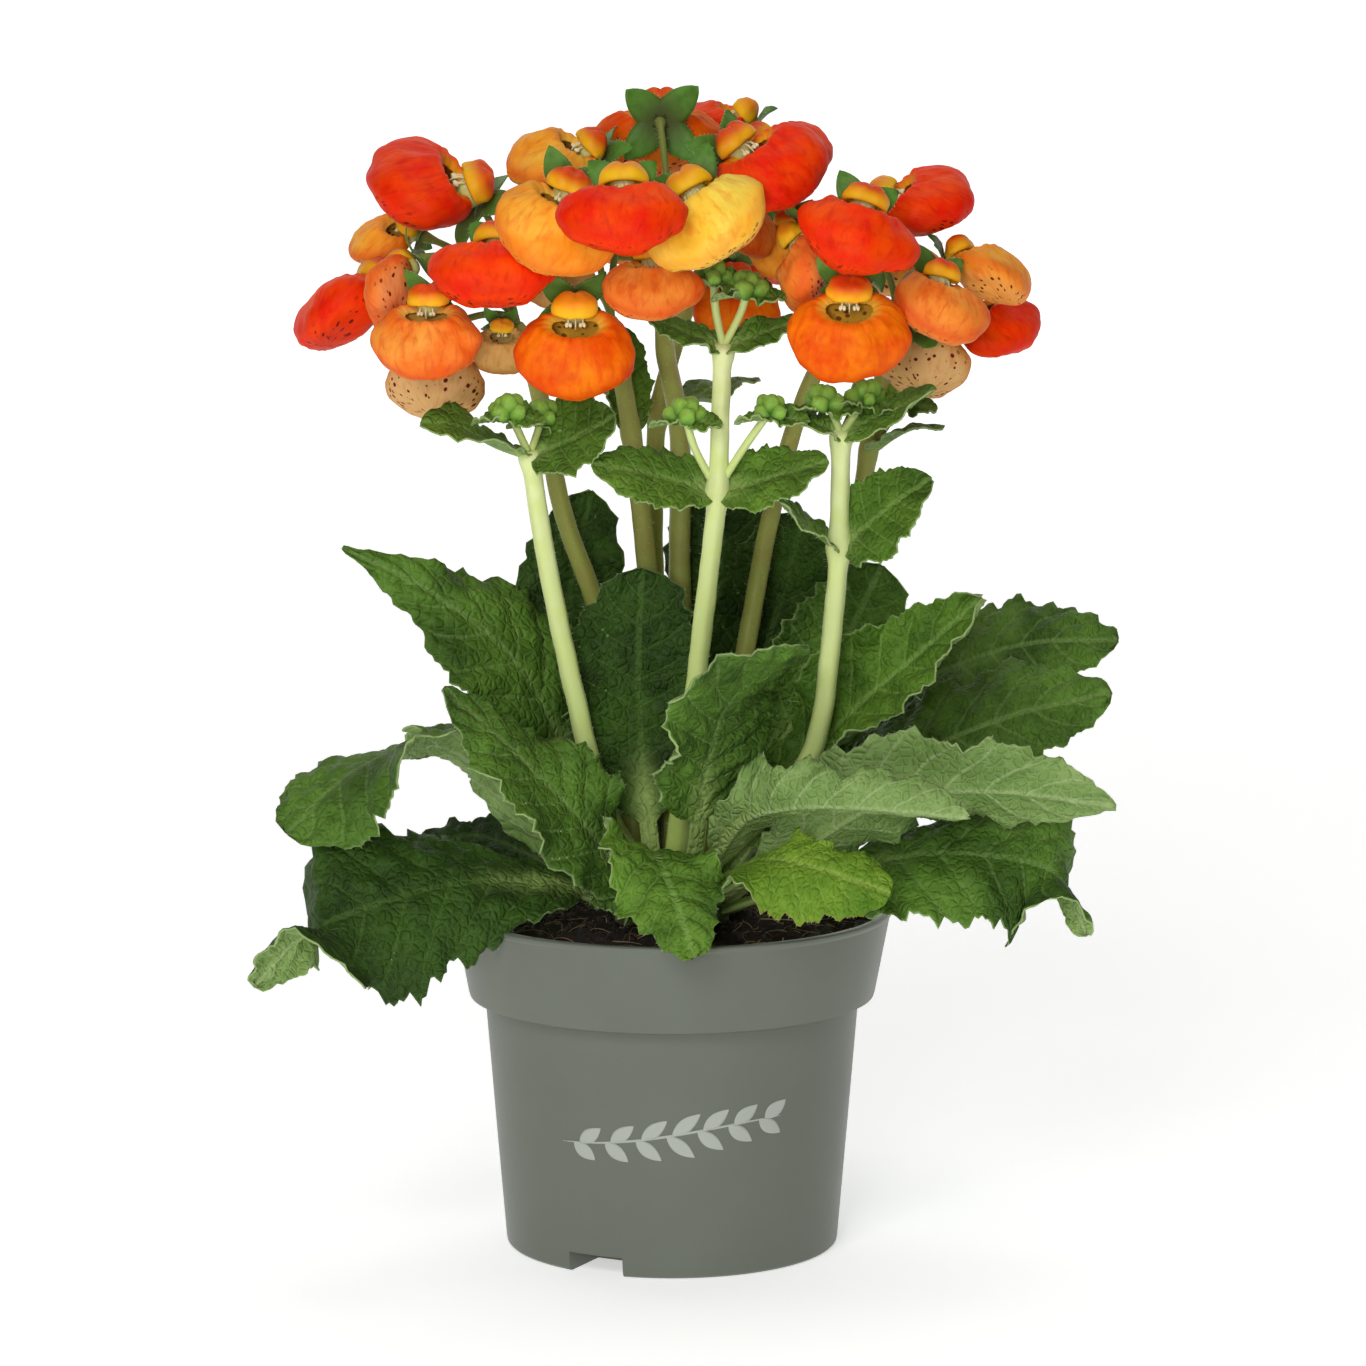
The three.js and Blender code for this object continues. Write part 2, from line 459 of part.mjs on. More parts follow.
// ---- shoots ----
// stem: the main stem from the crown up; radius: at its foot and top; leaves: paired stem leaves;
// buds: the stalk of each bud cluster.
const SHOOTS = {
  left_bud: {
    stem: [[-6.7, -6.7, 97], [-18, -13, 122], [-26, -20, 155], [-33, -24, 190], [-37.5, -28, 220]],
    radius: [2.9, 2.5],
    leaves: [
      {
        path: [[-37, -28, 219], [-46, -29, 222], [-56, -30, 227], [-66, -31, 228]],
        width: 8, roll: [0, -30], cup: [0.4, 0.2],
      },
      {
        path: [[-37, -28, 219], [-30, -31, 222], [-22, -33, 226], [-15, -35, 230]],
        width: 13, roll: [40, 60], cup: [0.3, 0.2],
      },
    ],
    buds: [
      [[-38, -28, 220], [-41, -30, 227], [-43, -31, 231]],
      [[-37, -27, 220], [-35, -25, 226], [-34, -24, 229]],
    ],
  },
  left: {
    stem: [[-9.5, 0, 97], [-13, 6, 135], [-19.5, 6, 170], [-29.5, 0, 201], [-35, -6, 231], [-41, -10, 252]],
    radius: [3.0, 2.2],
    leaves: [],
    buds: [],
  },
  mid_left: {
    stem: [[-6.7, 6.7, 97], [-5, 12, 147], [-6.5, 12, 180], [-10, 8, 213], [-13, 3, 234], [-16, -7, 253]],
    radius: [3.2, 2.3],
    leaves: [
      {
        path: [[-11, 6, 221], [-12, 10, 230], [-13, 13, 240], [-14, 14, 249]],
        width: 6, roll: [0, 0], cup: [0.3, 0.2],
      },
    ],
    buds: [],
  },
  centre_bud: {
    stem: [[0, -9.5, 97], [4, -22, 136], [8.3, -30, 175], [12, -34, 210], [12.7, -34, 229], [13.5, -34, 249]],
    radius: [3.0, 2.4],
    leaves: [
      {
        path: [[12, -34, 210], [2, -36, 213], [-9, -38, 216], [-21, -40, 218]],
        width: 9, roll: [-50, -40], cup: [0.3, -0.2],
      },
      {
        path: [[12, -34, 210], [22, -37, 213], [31, -39, 216], [41, -41, 219]],
        width: 9, roll: [50, 40], cup: [0.3, -0.2],
      },
      {
        path: [[13.5, -34, 248], [7, -36, 251], [0, -37, 254], [-6, -38, 256]],
        width: 5, roll: [-40, -30], cup: [0.3, -0.2],
      },
      {
        path: [[13.5, -34, 248], [21, -37, 251], [28, -39, 254], [35, -41, 256]],
        width: 5, roll: [40, 30], cup: [0.3, -0.2],
      },
    ],
    buds: [
      [[11, -34, 212], [6, -37, 222], [3.5, -38, 231]],
      [[13, -34, 212], [19, -37, 222], [26, -38, 232]],
      [[13.5, -34, 248], [11.5, -35, 258], [11, -35, 267]],
      [[13.5, -34, 248], [18, -35, 257], [20, -36, 264]],
    ],
  },
  centre: {
    stem: [[0, 0, 97], [2, 10, 146], [2, 17, 184], [2, 17, 220], [-2, 9, 245], [0, -12, 268]],
    radius: [3.4, 2.4],
    leaves: [],
    buds: [],
  },
  right_bud: {
    stem: [
      [6.7, -6.7, 97], [25, -17, 121], [38, -25, 141], [42.6, -30, 175], [44, -32, 196], [44.5, -32, 226],
    ],
    radius: [2.9, 2.5],
    leaves: [
      {
        path: [[44, -32, 195], [51, -35, 201], [59, -37, 208], [68, -38, 214]],
        width: 13, roll: [60, 50], cup: [0.3, 0.2],
      },
      {
        path: [[44, -32, 195], [39, -35, 199], [33, -38, 204], [28, -40, 209]],
        width: 8, roll: [-30, -20], cup: [0.3, 0.2],
      },
      {
        path: [[44.5, -32, 225], [52, -35, 229], [60, -36, 233], [69, -37, 238]],
        width: 7, roll: [40, 20], cup: [0.3, 0.2],
      },
      {
        path: [[44.5, -32, 225], [39, -35, 228], [34, -34, 230], [30, -33, 232]],
        width: 6, roll: [-30, -10], cup: [0.3, 0.2],
      },
    ],
    buds: [
      [[44.5, -32, 225], [42, -33, 231], [40, -34, 234]],
      [[44.5, -32, 225], [48, -32, 230], [51, -32, 235]],
    ],
  },
  right: {
    stem: [
      [9.5, 0, 97], [14, 6, 130], [20, 11, 161], [26, 12, 194], [32, 6, 219], [38, 0, 237], [46, -5, 252],
    ],
    radius: [3.0, 2.2],
    leaves: [],
    buds: [],
  },
  far_right: {
    stem: [
      [6.7, 6.7, 97], [20, 15, 121], [38, 22, 148], [49, 26, 184], [53, 24, 211], [57, 18, 234], [60, 8, 254],
    ],
    radius: [3.0, 2.2],
    leaves: [
      {
        path: [[54, 23, 214], [60, 18, 219], [66, 14, 222], [73, 10, 222]],
        width: 7, roll: [0, 0], cup: [0.3, -0.2],
      },
    ],
    buds: [[[54, 23, 215], [60, 20, 224], [62, 18, 229]]],
  },
  back: {
    stem: [[0, 9.5, 97], [-3, 26, 146], [-5, 38, 184], [-4, 44, 220], [2, 42, 245], [6, 36, 256]],
    radius: [3.2, 2.2],
    leaves: [
      {
        path: [[-4, 44, 222], [-14, 50, 226], [-23, 55, 230], [-32, 60, 230]],
        width: 9, roll: [0, 0], cup: [0.3, -0.2],
      },
      {
        path: [[-4, 44, 222], [6, 50, 226], [15, 55, 230], [24, 60, 230]],
        width: 9, roll: [0, 0], cup: [0.3, -0.2],
      },
    ],
    buds: [],
  },
};

// A cluster of round green buds at the end of a short stalk: one on top and the rest in a ring.
function budCluster(points) {
  const path = points.map((p) => V(...p));
  const top = path[path.length - 1];
  const balls = Array.from({ length: BUD.count }, (_, k) => {
    const angle = (TAU * k) / (BUD.count - 1);
    const out = k === BUD.count - 1 ? V(0, 0, 1) : V(Math.cos(angle), Math.sin(angle), 0);
    const place = out.multiplyScalar(BUD.spread).add(top);
    return new THREE.IcosahedronGeometry(BUD.radius).translate(...place.toArray());
  });
  return [stalk(spine(path), () => BUD.stalkRadius, BUD.stalkSides, BUD.stalkSteps), ...balls];
}

function shootSolid(name) {
  const shoot = SHOOTS[name];
  const [foot, ...rest] = shoot.stem.map((p) => V(...p));
  const path = [foot, foot.clone().add(V(0, 0, STEM.rootHeight)), ...rest];
  const radiusAt = (s) => lerp(shoot.radius[0], shoot.radius[1], s);
  const hub = path[path.length - 1];
  const leaving = hub.clone().sub(path[path.length - 2]).normalize();
  const start = hub.clone().addScaledVector(leaving, -STALK.rootDepth);
  const stalks = Object.values(BLOOMS[name] ?? {}).flatMap((bloom) => [
    flowerStalk(start, leaving, bloom),
    calyx(bloom),
  ]);
  return fuse([
    stalk(spine(path), radiusAt, STEM.sides, path.length + STEM.extraSteps),
    ...shoot.leaves.map((leaf) => leafGeometry(STEM_LEAF_FORM, leaf)),
    ...shoot.buds.flatMap(budCluster),
    ...stalks,
  ]);
}

// ---- pot, soil and crown ----
function lathe(profile, sides) {
  const points = profile.map(([r, z]) => new THREE.Vector2(r, z));
  return new THREE.LatheGeometry(points, sides).rotateX(Math.PI / 2);
}

// Radius of the pot's inner wall at a height, below and above the step.
const stepHeight = POT.height - POT.bandHeight;
const innerRadius = (z) =>
  z < stepHeight
    ? lerp(POT.footRadius, POT.neckRadius, z / stepHeight) - POT.wall
    : lerp(POT.bandFootRadius, POT.rimRadius - 0.8, (z - stepHeight) / POT.bandHeight) - POT.wall;

// A radial box on the pot's floor, lying from the inner radius outwards at an angle from the front.
function channelBox(degrees, grow, outer, top) {
  const length = outer - DRAIN.inner + grow;
  return new THREE.BoxGeometry(DRAIN.width + 2 * grow, length, top + 2)
    .translate(0, -(DRAIN.inner - grow + length / 2), top / 2 - 1)
    .rotateZ(rad(degrees));
}

const channelAngles = Array.from({ length: DRAIN.count }, (_, k) => DRAIN.firstDeg + (360 / DRAIN.count) * k);

function potSolid() {
  const { height, rimRadius, bandFootRadius, neckRadius, footRadius, wall, sides } = POT;
  const profile = [
    [0, 0],
    [footRadius - 1.6, 0],
    [footRadius, 1.8],
    [neckRadius, stepHeight - 0.6],
    [bandFootRadius - 0.8, stepHeight - 1.2],
    [bandFootRadius, stepHeight],
    [rimRadius - 0.8, height - 2],
    [rimRadius, height - 1.2],
    [rimRadius, height],
    [rimRadius - wall - 1.2, height],
    [innerRadius(height - 1.5), height - 1.5],
    [innerRadius(stepHeight + 0.6), stepHeight + 0.6],
    [innerRadius(stepHeight - 1), stepHeight - 1],
    [innerRadius(wall), wall],
    [0, wall],
  ];
  let pot = solidOf(lathe(profile, sides));
  const room = footRadius - 0.4; // the channels' roofs end inside the wall
  const inside = solidOf(lathe([[0, 0], [room, 0], [room, 20], [0, 20]], sides));
  for (const angle of channelAngles) {
    const roof = channelBox(angle, DRAIN.shell, footRadius + 2, DRAIN.height + DRAIN.shell);
    pot = pot.add(solidOf(roof).intersect(inside));
  }
  for (const angle of channelAngles) {
    pot = pot.subtract(solidOf(channelBox(angle, 0, footRadius + 5, DRAIN.height)));
    const hole = new THREE.CylinderGeometry(DRAIN.holeRadius, DRAIN.holeRadius, 20, 8).rotateX(Math.PI / 2);
    pot = pot.subtract(solidOf(hole.translate(0, -(DRAIN.inner + DRAIN.holeInset), 0).rotateZ(rad(angle))));
  }
  return pot;
}

// Height of the peat's rough surface above its level: three crossed waves, and a low mound at the right.
function roughness(x, y) {
  const waves = Math.sin(x * 0.31 + y * 0.17) + Math.sin(y * 0.43 - x * 0.12) + Math.sin((x + y) * 0.77);
  const mound = Math.exp(-(((x - 40) / 16) ** 2) - ((y + 12) / 24) ** 2);
  return (SOIL.bumps * waves) / 2 + SOIL.moundHeight * mound;
}

function soilSolid() {
  const inside = (z) => [innerRadius(z) - GAP, z];
  const top = SOIL.edgeHeight;
  const rise = (r) => 0.5 * Math.ceil((60 - r) / 20); // towards the crown, in half-millimetre steps
  const profile = [
    [0, POT.wall + GAP],
    inside(POT.wall + GAP),
    [innerRadius(stepHeight - 1) - GAP, stepHeight],
    inside(stepHeight + 1.2),
    inside(top),
    ...SOIL.rings.map((r) => [r, top + rise(r)]),
    [CROWN.holeRadius, top + 1.5],
    [CROWN.holeRadius, CROWN.rootDepth],
    [0, CROWN.rootDepth],
  ];
  const rough = moved(lathe(profile, SOIL.sides), (p) => {
    const radius = Math.hypot(p.x, p.y);
    const free = p.z > top + 0.2 && radius > CROWN.holeRadius + 1;
    return V(p.x, p.y, p.z + (free ? roughness(p.x, p.y) : 0));
  });
  let soil = solidOf(rough);
  for (const angle of channelAngles) {
    const room = channelBox(angle, DRAIN.shell + GAP, POT.footRadius + 5, DRAIN.height + DRAIN.shell + GAP);
    soil = soil.subtract(solidOf(room));
  }
  return soil;
}

// The crown's turned body, or with a clearance the room that leaves and stems leave free around it.
function crownBody(clearance) {
  const { holeRadius, rootDepth, shoulderHeight, shoulderRadius, topRadius, topHeight } = CROWN;
  const root = holeRadius - GAP + clearance;
  const foot = rootDepth + GAP - clearance;
  const profile = [
    [0, foot],
    [root, foot],
    [root, shoulderHeight - clearance],
    [shoulderRadius + clearance, shoulderHeight + 0.5 - clearance],
    [shoulderRadius + clearance, topHeight - 3 + clearance / 2],
    [topRadius + clearance, topHeight + clearance],
    [0, topHeight + clearance],
  ];
  return lathe(profile, CROWN.sides);
}

const crownRoom = solidOf(crownBody(GAP));

const crownSolid = () =>
  fuse([crownBody(0), ...CROWN_LEAVES.map((leaf) => leafGeometry(CROWN_LEAF_FORM, leaf))]);

// ---- assembly ----
const material = (colour, roughness) =>
  new THREE.MeshStandardMaterial({ color: COLOUR[colour], roughness, metalness: 0 });

const plant = new THREE.Group();
function addPiece(name, solid, colour, roughness) {
  const mesh = new THREE.Mesh(geometryOf(solid), material(colour, roughness));
  mesh.name = name;
  plant.add(mesh);
}

addPiece("pot", potSolid(), "pot", 0.45);
addPiece("soil", soilSolid(), "soil", 0.95);
addPiece("crown", crownSolid(), "leaf", 0.7);
for (const [name, leaf] of Object.entries(BASAL_LEAVES))
  addPiece(name, solidOf(leafGeometry(LEAF_FORM, leaf)).subtract(crownRoom), "leaf", 0.7);
for (const name of Object.keys(SHOOTS))
  addPiece(`shoot_${name}`, shootSolid(name).subtract(crownRoom), "stem", 0.6);
for (const group of Object.values(BLOOMS))
  for (const [name, bloom] of Object.entries(group)) addPiece(name, bloomSolid(bloom), bloom.tone, 0.45);

export default plant;
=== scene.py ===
"""A pocketbook plant in its nursery pot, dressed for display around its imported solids.

Lengths are millimetres until a mesh is made, in the part's own frame: +Z up, -Y the front, and the
origin under the middle of the pot. Every solid of the plant gets a finer skin that keeps its form.
"""

from __future__ import annotations

import json
import logging
import math
from dataclasses import dataclass
from enum import Enum

import bpy
import numpy as np
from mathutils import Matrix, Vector

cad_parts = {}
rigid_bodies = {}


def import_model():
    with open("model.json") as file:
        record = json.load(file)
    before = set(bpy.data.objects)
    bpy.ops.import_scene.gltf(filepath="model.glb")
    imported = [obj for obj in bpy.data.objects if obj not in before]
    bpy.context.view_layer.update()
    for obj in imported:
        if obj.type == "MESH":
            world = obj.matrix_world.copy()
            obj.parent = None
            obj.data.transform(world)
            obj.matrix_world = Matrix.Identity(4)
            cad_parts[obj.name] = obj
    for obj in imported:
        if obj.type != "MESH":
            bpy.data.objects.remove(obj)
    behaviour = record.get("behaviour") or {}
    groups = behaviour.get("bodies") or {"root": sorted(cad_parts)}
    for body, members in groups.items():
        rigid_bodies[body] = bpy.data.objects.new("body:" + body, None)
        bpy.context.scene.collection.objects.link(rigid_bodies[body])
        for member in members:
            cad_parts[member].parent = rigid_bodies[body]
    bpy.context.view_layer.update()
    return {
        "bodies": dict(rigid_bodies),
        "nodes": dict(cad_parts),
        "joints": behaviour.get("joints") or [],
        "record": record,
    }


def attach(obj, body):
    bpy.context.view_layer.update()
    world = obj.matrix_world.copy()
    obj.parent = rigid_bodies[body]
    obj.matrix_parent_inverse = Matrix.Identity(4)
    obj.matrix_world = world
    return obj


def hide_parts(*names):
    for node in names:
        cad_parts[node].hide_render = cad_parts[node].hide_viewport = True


LOG = logging.getLogger("pocketbook_plant")
MM = 0.001
TAU = 2 * math.pi
Array = np.ndarray
Triple = tuple[float, float, float]
Pair = tuple[float, float]
Socket = bpy.types.NodeSocket


# ---- numbers and fields ----
def unit(vectors: Array) -> Array:
    """Scales each vector of an array to length one."""
    return vectors / np.maximum(np.linalg.norm(vectors, axis=-1, keepdims=True), 1e-9)


def ease(values: Array, low: float, high: float) -> Array:
    """A smooth step: 0 below low, 1 above high and 3x^2 - 2x^3 between them."""
    x = np.clip((values - low) / (high - low), 0, 1)
    return x * x * (3 - 2 * x)


def blend(values: tuple[float, ...], s: Array) -> Array:
    """Values spread evenly along 0 to 1, joined smoothly.

    Args:
        values: Two or more values.
        s: Places from 0 to 1.

    Returns:
        The value at each place.
    """
    spot = np.clip(s, 0, 1) * (len(values) - 1)
    first = np.minimum(spot.astype(int), len(values) - 2)
    part = ease(spot - first, 0.0, 1.0)
    table = np.array(values, float)
    return table[first] * (1 - part) + table[first + 1] * part


def ripple(points: Array, wavelength: float, seed: int) -> Array:
    """A smooth irregular field between about -1 and 1.

    It is the scaled sum of nine sine waves that run in random directions, with wavelengths within a
    third of the one asked for.

    Args:
        points: Places, in mm, with the three coordinates last.
        wavelength: Usual distance from crest to crest, in mm.
        seed: Picks the directions and phases.

    Returns:
        One number for each place.
    """
    rng = np.random.default_rng(seed)
    waves = unit(rng.normal(size=(9, 3))).T * TAU / (wavelength * rng.uniform(0.7, 1.35, 9))
    return np.sin(points @ waves + rng.uniform(0, TAU, 9)).sum(-1) / 4.2


def grid_normals(points: Array) -> Array:
    """Unit normals of a grid of places: its step down the rows crossed with its step over the columns."""
    return unit(np.cross(np.gradient(points, axis=0), np.gradient(points, axis=1)))


def circle(sides: int) -> Array:
    """Angles spread evenly over one full turn."""
    return np.linspace(0, TAU, sides, endpoint=False)


def ball(rows: Array, ring: Array) -> Array:
    """Places on a unit ball at angles from its pole and round it."""
    return np.stack([np.sin(rows) * np.cos(ring), np.sin(rows) * np.sin(ring), np.cos(rows) + 0 * ring], -1)


def turned(profile: Array, sides: int) -> Array:
    """Places of a profile of radius and height spun about the upright axis, as rows x sides x 3."""
    turn = circle(sides)
    ring = np.stack([np.cos(turn), np.sin(turn), 0 * turn], -1)
    return profile[:, None, :1] * ring + profile[:, None, 1:] * [0, 0, 1.0]


@dataclass(frozen=True)
class Spine:
    """A Catmull-Rom curve of tension 0.5 through its knots, spread evenly over a parameter from 0 to 1."""

    knots: tuple[Triple, ...]

    def _cubic(self, s: Array) -> tuple[Array, Array, Array, Array, Array]:
        """The cubic's four coefficients at each parameter, and how far it is through its stretch."""
        p = np.array(self.knots, float)
        p = np.vstack([2 * p[0] - p[1], p, 2 * p[-1] - p[-2]])
        x = np.clip(np.asarray(s, float), 0, 1) * (len(self.knots) - 1)
        k = np.minimum(x.astype(int), len(self.knots) - 2)
        a, b, c, d = p[k], p[k + 1], p[k + 2], p[k + 3]
        start, end = (c - a) / 2, (d - b) / 2
        return b, start, 3 * (c - b) - 2 * start - end, 2 * (b - c) + start + end, (x - k)[..., None]

    def at(self, s: Array) -> Array:
        """Places on the curve."""
        c0, c1, c2, c3, w = self._cubic(s)
        return c0 + w * (c1 + w * (c2 + w * c3))

    def tangent(self, s: Array) -> Array:
        """Unit vectors along the curve."""
        _, c1, c2, c3, w = self._cubic(s)
        return unit(c1 + w * (2 * c2 + 3 * w * c3))

    def evenly(self, count: int) -> Array:
        """Places that lie the same distance apart along the curve."""
        fine = np.linspace(0, 1, 400)
        steps = np.linalg.norm(np.diff(self.at(fine), axis=0), axis=1)
        travelled = np.concatenate([[0], np.cumsum(steps)])
        return self.at(np.interp(np.linspace(0, travelled[-1], count), travelled, fine))


def bezier(corners: Array, count: int) -> Array:
    """Places on the cubic Bezier curve of four corners, each weighted by its Bernstein polynomial."""
    s = np.linspace(0, 1, count)[:, None]
    weights = np.hstack([(1 - s) ** 3, 3 * s * (1 - s) ** 2, 3 * s * s * (1 - s), s**3])
    return weights @ np.asarray(corners, float)


def tube(path: Array, radii: Array, sides: int) -> Array:
    """Rings round a path, as a grid: place + radius (cosine of the turn x side + sine of the turn x up).

    Side and up come from the tangent and the normal of the plane that the path lies nearest to, so the
    rings never twist.

    Args:
        path: Places along the middle.
        radii: Radius at each place, or one for each place and side.
        sides: Places in a ring.

    Returns:
        Places as rows x sides x 3, whose faces look outwards.
    """
    tangents = unit(np.gradient(path, axis=0))
    flat = np.linalg.svd(path - path.mean(0))[2][2]
    side = unit(np.cross(tangents, flat))
    up = np.cross(tangents, side)
    turn = circle(sides)[None, :, None]
    radius = np.broadcast_to(np.asarray(radii, float).reshape(len(path), -1), (len(path), sides))
    ring = np.cos(turn) * side[:, None] - np.sin(turn) * up[:, None]
    return path[:, None] + radius[..., None] * ring


# ---- meshes ----
class Skin:
    """The surfaces of one piece as they gather: places, faces, finishes, map coordinates and marks.

    A mark is a named number at each place that a finish reads, such as how near a vein is.
    """

    def __init__(self, *marks: str) -> None:
        """Starts empty, with the names of its marks."""
        self.points: list[Array] = []
        self.faces: list[tuple[Array, Array, int]] = []
        self.marks: dict[str, list[Array]] = {name: [] for name in marks}
        self.count = 0

    def _keep(self, points: Array, marks: dict[str, Array]) -> int:
        """Keeps places and their marks (nought where none is given) and returns the first one's number."""
        first = self.count
        self.points.append(points.reshape(-1, 3))
        for name, kept in self.marks.items():
            value = np.broadcast_to(marks.get(name, 0.0), points.shape[:-1])
            kept.append(value.reshape(-1).astype(float))
        self.count += len(self.points[-1])
        return first

    def sheet(
        self,
        points: Array,
        slot: int = 0,
        chart: Array | None = None,
        shut: bool = False,
        **marks: Array,
    ) -> None:
        """Adds a grid of places as quads that face the rows' step crossed with the columns' step.

        Args:
            points: Places as rows x columns x 3.
            slot: Number of the finish.
            chart: Map coordinates as rows x columns x 2, with one more column where the grid is shut.
            shut: Whether the last column joins the first, and the end rows close on a middle place.
            **marks: Numbers at the places.
        """
        rows, columns = points.shape[:2]
        across = columns + int(shut)
        if chart is None:
            chart = np.stack(np.meshgrid(np.arange(rows), np.arange(across), indexing="ij"), -1)
        first = self._keep(points, marks)
        r, c = np.indices((rows - 1, across - 1))
        corners = ((r, c), (r + 1, c), (r + 1, c + 1), (r, c + 1))
        quads = np.stack([first + a * columns + b % columns for a, b in corners], -1)
        maps = np.stack([chart[a, b] for a, b in corners], -2)
        self.faces.append((quads.reshape(-1, 4), maps.reshape(-1, 4, 2), slot))
        for row in (0, rows - 1) if shut else ():
            means = {name: np.broadcast_to(v, (rows, columns))[row].mean() for name, v in marks.items()}
            pole = self._keep(points[row].mean(0)[None], means)
            ring = np.arange(across - 1)
            near, far = first + row * columns + ring, first + row * columns + (ring + 1) % columns
            order = (near, far) if row == 0 else (far, near)
            fan = np.stack([np.full_like(ring, pole), *order], -1)
            self.faces.append((fan, chart[row, ring][:, None].repeat(3, 1), slot))

    def closed(self, points: Array, slot: int = 0, chart: Array | None = None, **marks: Array) -> None:
        """Adds a grid whose columns join and whose first and last rows close, as a ball or a rod does."""
        self.sheet(points, slot, chart, shut=True, **marks)

    def slab(
        self,
        top: Array,
        under: Array,
        slots: tuple[int, int] = (0, 0),
        chart: Array | None = None,
        **marks: Array,
    ) -> None:
        """Adds a closed leaf of two grids of alike size, joined all round their edge.

        Args:
            top: Places of the upper face as rows x columns x 3.
            under: Places of the lower face, below the upper ones.
            slots: Numbers of the two faces' finishes.
            chart: Map coordinates shared by both faces.
            **marks: Numbers at the places, shared by both faces.
        """
        rows, columns = top.shape[:2]
        first = self.count
        self.sheet(top, slots[0], chart=chart, **marks)
        second = self.count
        self.sheet(under, slots[1], chart=chart, **marks)
        quads, maps, _ = self.faces[-1]
        self.faces[-1] = (quads[:, ::-1], maps[:, ::-1], slots[1])
        lattice = np.arange(rows * columns).reshape(rows, columns)
        rim = np.concatenate([lattice[:-1, 0], lattice[-1, :-1], lattice[:0:-1, -1], lattice[0, :0:-1]])
        after = np.roll(rim, -1)
        wall = np.stack([first + rim, second + rim, second + after, first + after], -1)
        spread = np.zeros((len(rim), 4, 2))
        if chart is not None:
            spread = chart.reshape(-1, 2)[rim][:, None].repeat(4, 1)
        self.faces.append((wall, spread, slots[1]))

    def solids(self, corners: Array, faces: Array, slot: int = 0, **marks: Array) -> None:
        """Adds many alike small solids at once.

        Args:
            corners: Places as solids x corners x 3.
            faces: Corner numbers of the triangles of one solid.
            slot: Number of the finish.
            **marks: Numbers at the places, or one for each solid with a last axis of one.
        """
        first = self._keep(corners, marks)
        starts = first + np.arange(len(corners))[:, None, None] * corners.shape[1]
        every = (starts + faces[None]).reshape(-1, 3)
        self.faces.append((every, np.zeros((len(every), 3, 2)), slot))

    def make(self, name: str, *finishes: bpy.types.Material) -> bpy.types.Object:
        """Makes one smooth-shaded object, at the origin, of what has gathered.

        Args:
            name: The object's name.
            *finishes: Materials in the order of the slots.

        Returns:
            The object, in the scene.
        """
        mesh = bpy.data.meshes.new(name)
        points = np.concatenate(self.points) * MM
        mesh.vertices.add(len(points))
        mesh.vertices.foreach_set("co", points.astype(np.float32).ravel())
        loops = np.concatenate([quads.ravel() for quads, _, _ in self.faces])
        sizes = np.concatenate([np.full(len(quads), quads.shape[1]) for quads, _, _ in self.faces])
        slots = np.concatenate([np.full(len(quads), slot) for quads, _, slot in self.faces])
        maps = np.concatenate([chart.reshape(-1, 2) for _, chart, _ in self.faces])
        mesh.loops.add(len(loops))
        mesh.loops.foreach_set("vertex_index", loops.astype(np.int32))
        mesh.polygons.add(len(sizes))
        mesh.polygons.foreach_set("loop_start", (np.cumsum(sizes) - sizes).astype(np.int32))
        mesh.polygons.foreach_set("material_index", slots.astype(np.int32))
        mesh.uv_layers.new(name="chart").data.foreach_set("uv", maps.astype(np.float32).ravel())
        for mark, kept in self.marks.items():
            values = np.concatenate(kept).astype(np.float32)
            mesh.attributes.new(mark, "FLOAT", "POINT").data.foreach_set("value", values)
        for finish in finishes:
            mesh.materials.append(finish)
        mesh.update(calc_edges=True)
        mesh.polygons.foreach_set("use_smooth", np.ones(len(sizes), bool))
        piece = bpy.data.objects.new(name, mesh)
        bpy.context.scene.collection.objects.link(piece)
        LOG.info("%s: %d faces", name, len(sizes))
        return piece


HAIR = 0.035  # usual width of a hair at its root


def hairs(skin: Skin, roots: Array, ways: Array, length: float, width: float, slot: int, seed: int) -> None:
    """Adds fine pointed hairs, each a thin tetrahedron from its root along its way, a little askew.

    Args:
        skin: What the hairs are added to.
        roots: Places of the roots.
        ways: Outward unit vectors at the roots.
        length: Usual length of a hair.
        width: Width of a hair at its root.
        slot: Number of the finish.
        seed: Picks the lean and the length of each.
    """
    rng = np.random.default_rng(seed)
    ways = unit(ways + rng.normal(0, 0.28, ways.shape))
    side = unit(np.cross(ways, rng.normal(size=ways.shape)))
    up = np.cross(ways, side)
    reach = length * rng.uniform(0.5, 1.2, (len(roots), 1))
    turns = (0, TAU / 3, 2 * TAU / 3)
    base = [roots + width * (math.cos(a) * side + math.sin(a) * up) - 0.1 * ways for a in turns]
    corners = np.stack([*base, roots + reach * ways], 1)
    skin.solids(corners, np.array([[0, 2, 1], [0, 1, 3], [1, 2, 3], [2, 0, 3]]), slot)


# ---- finishes ----
def linear(code: str) -> tuple[float, float, float, float]:
    """Turns an sRGB hex colour to linear light with full cover."""
    parts = [int(code[i : i + 2], 16) / 255 for i in (1, 3, 5)]
    r, g, b = (p / 12.92 if p <= 0.04045 else ((p + 0.055) / 1.055) ** 2.4 for p in parts)
    return (r, g, b, 1.0)


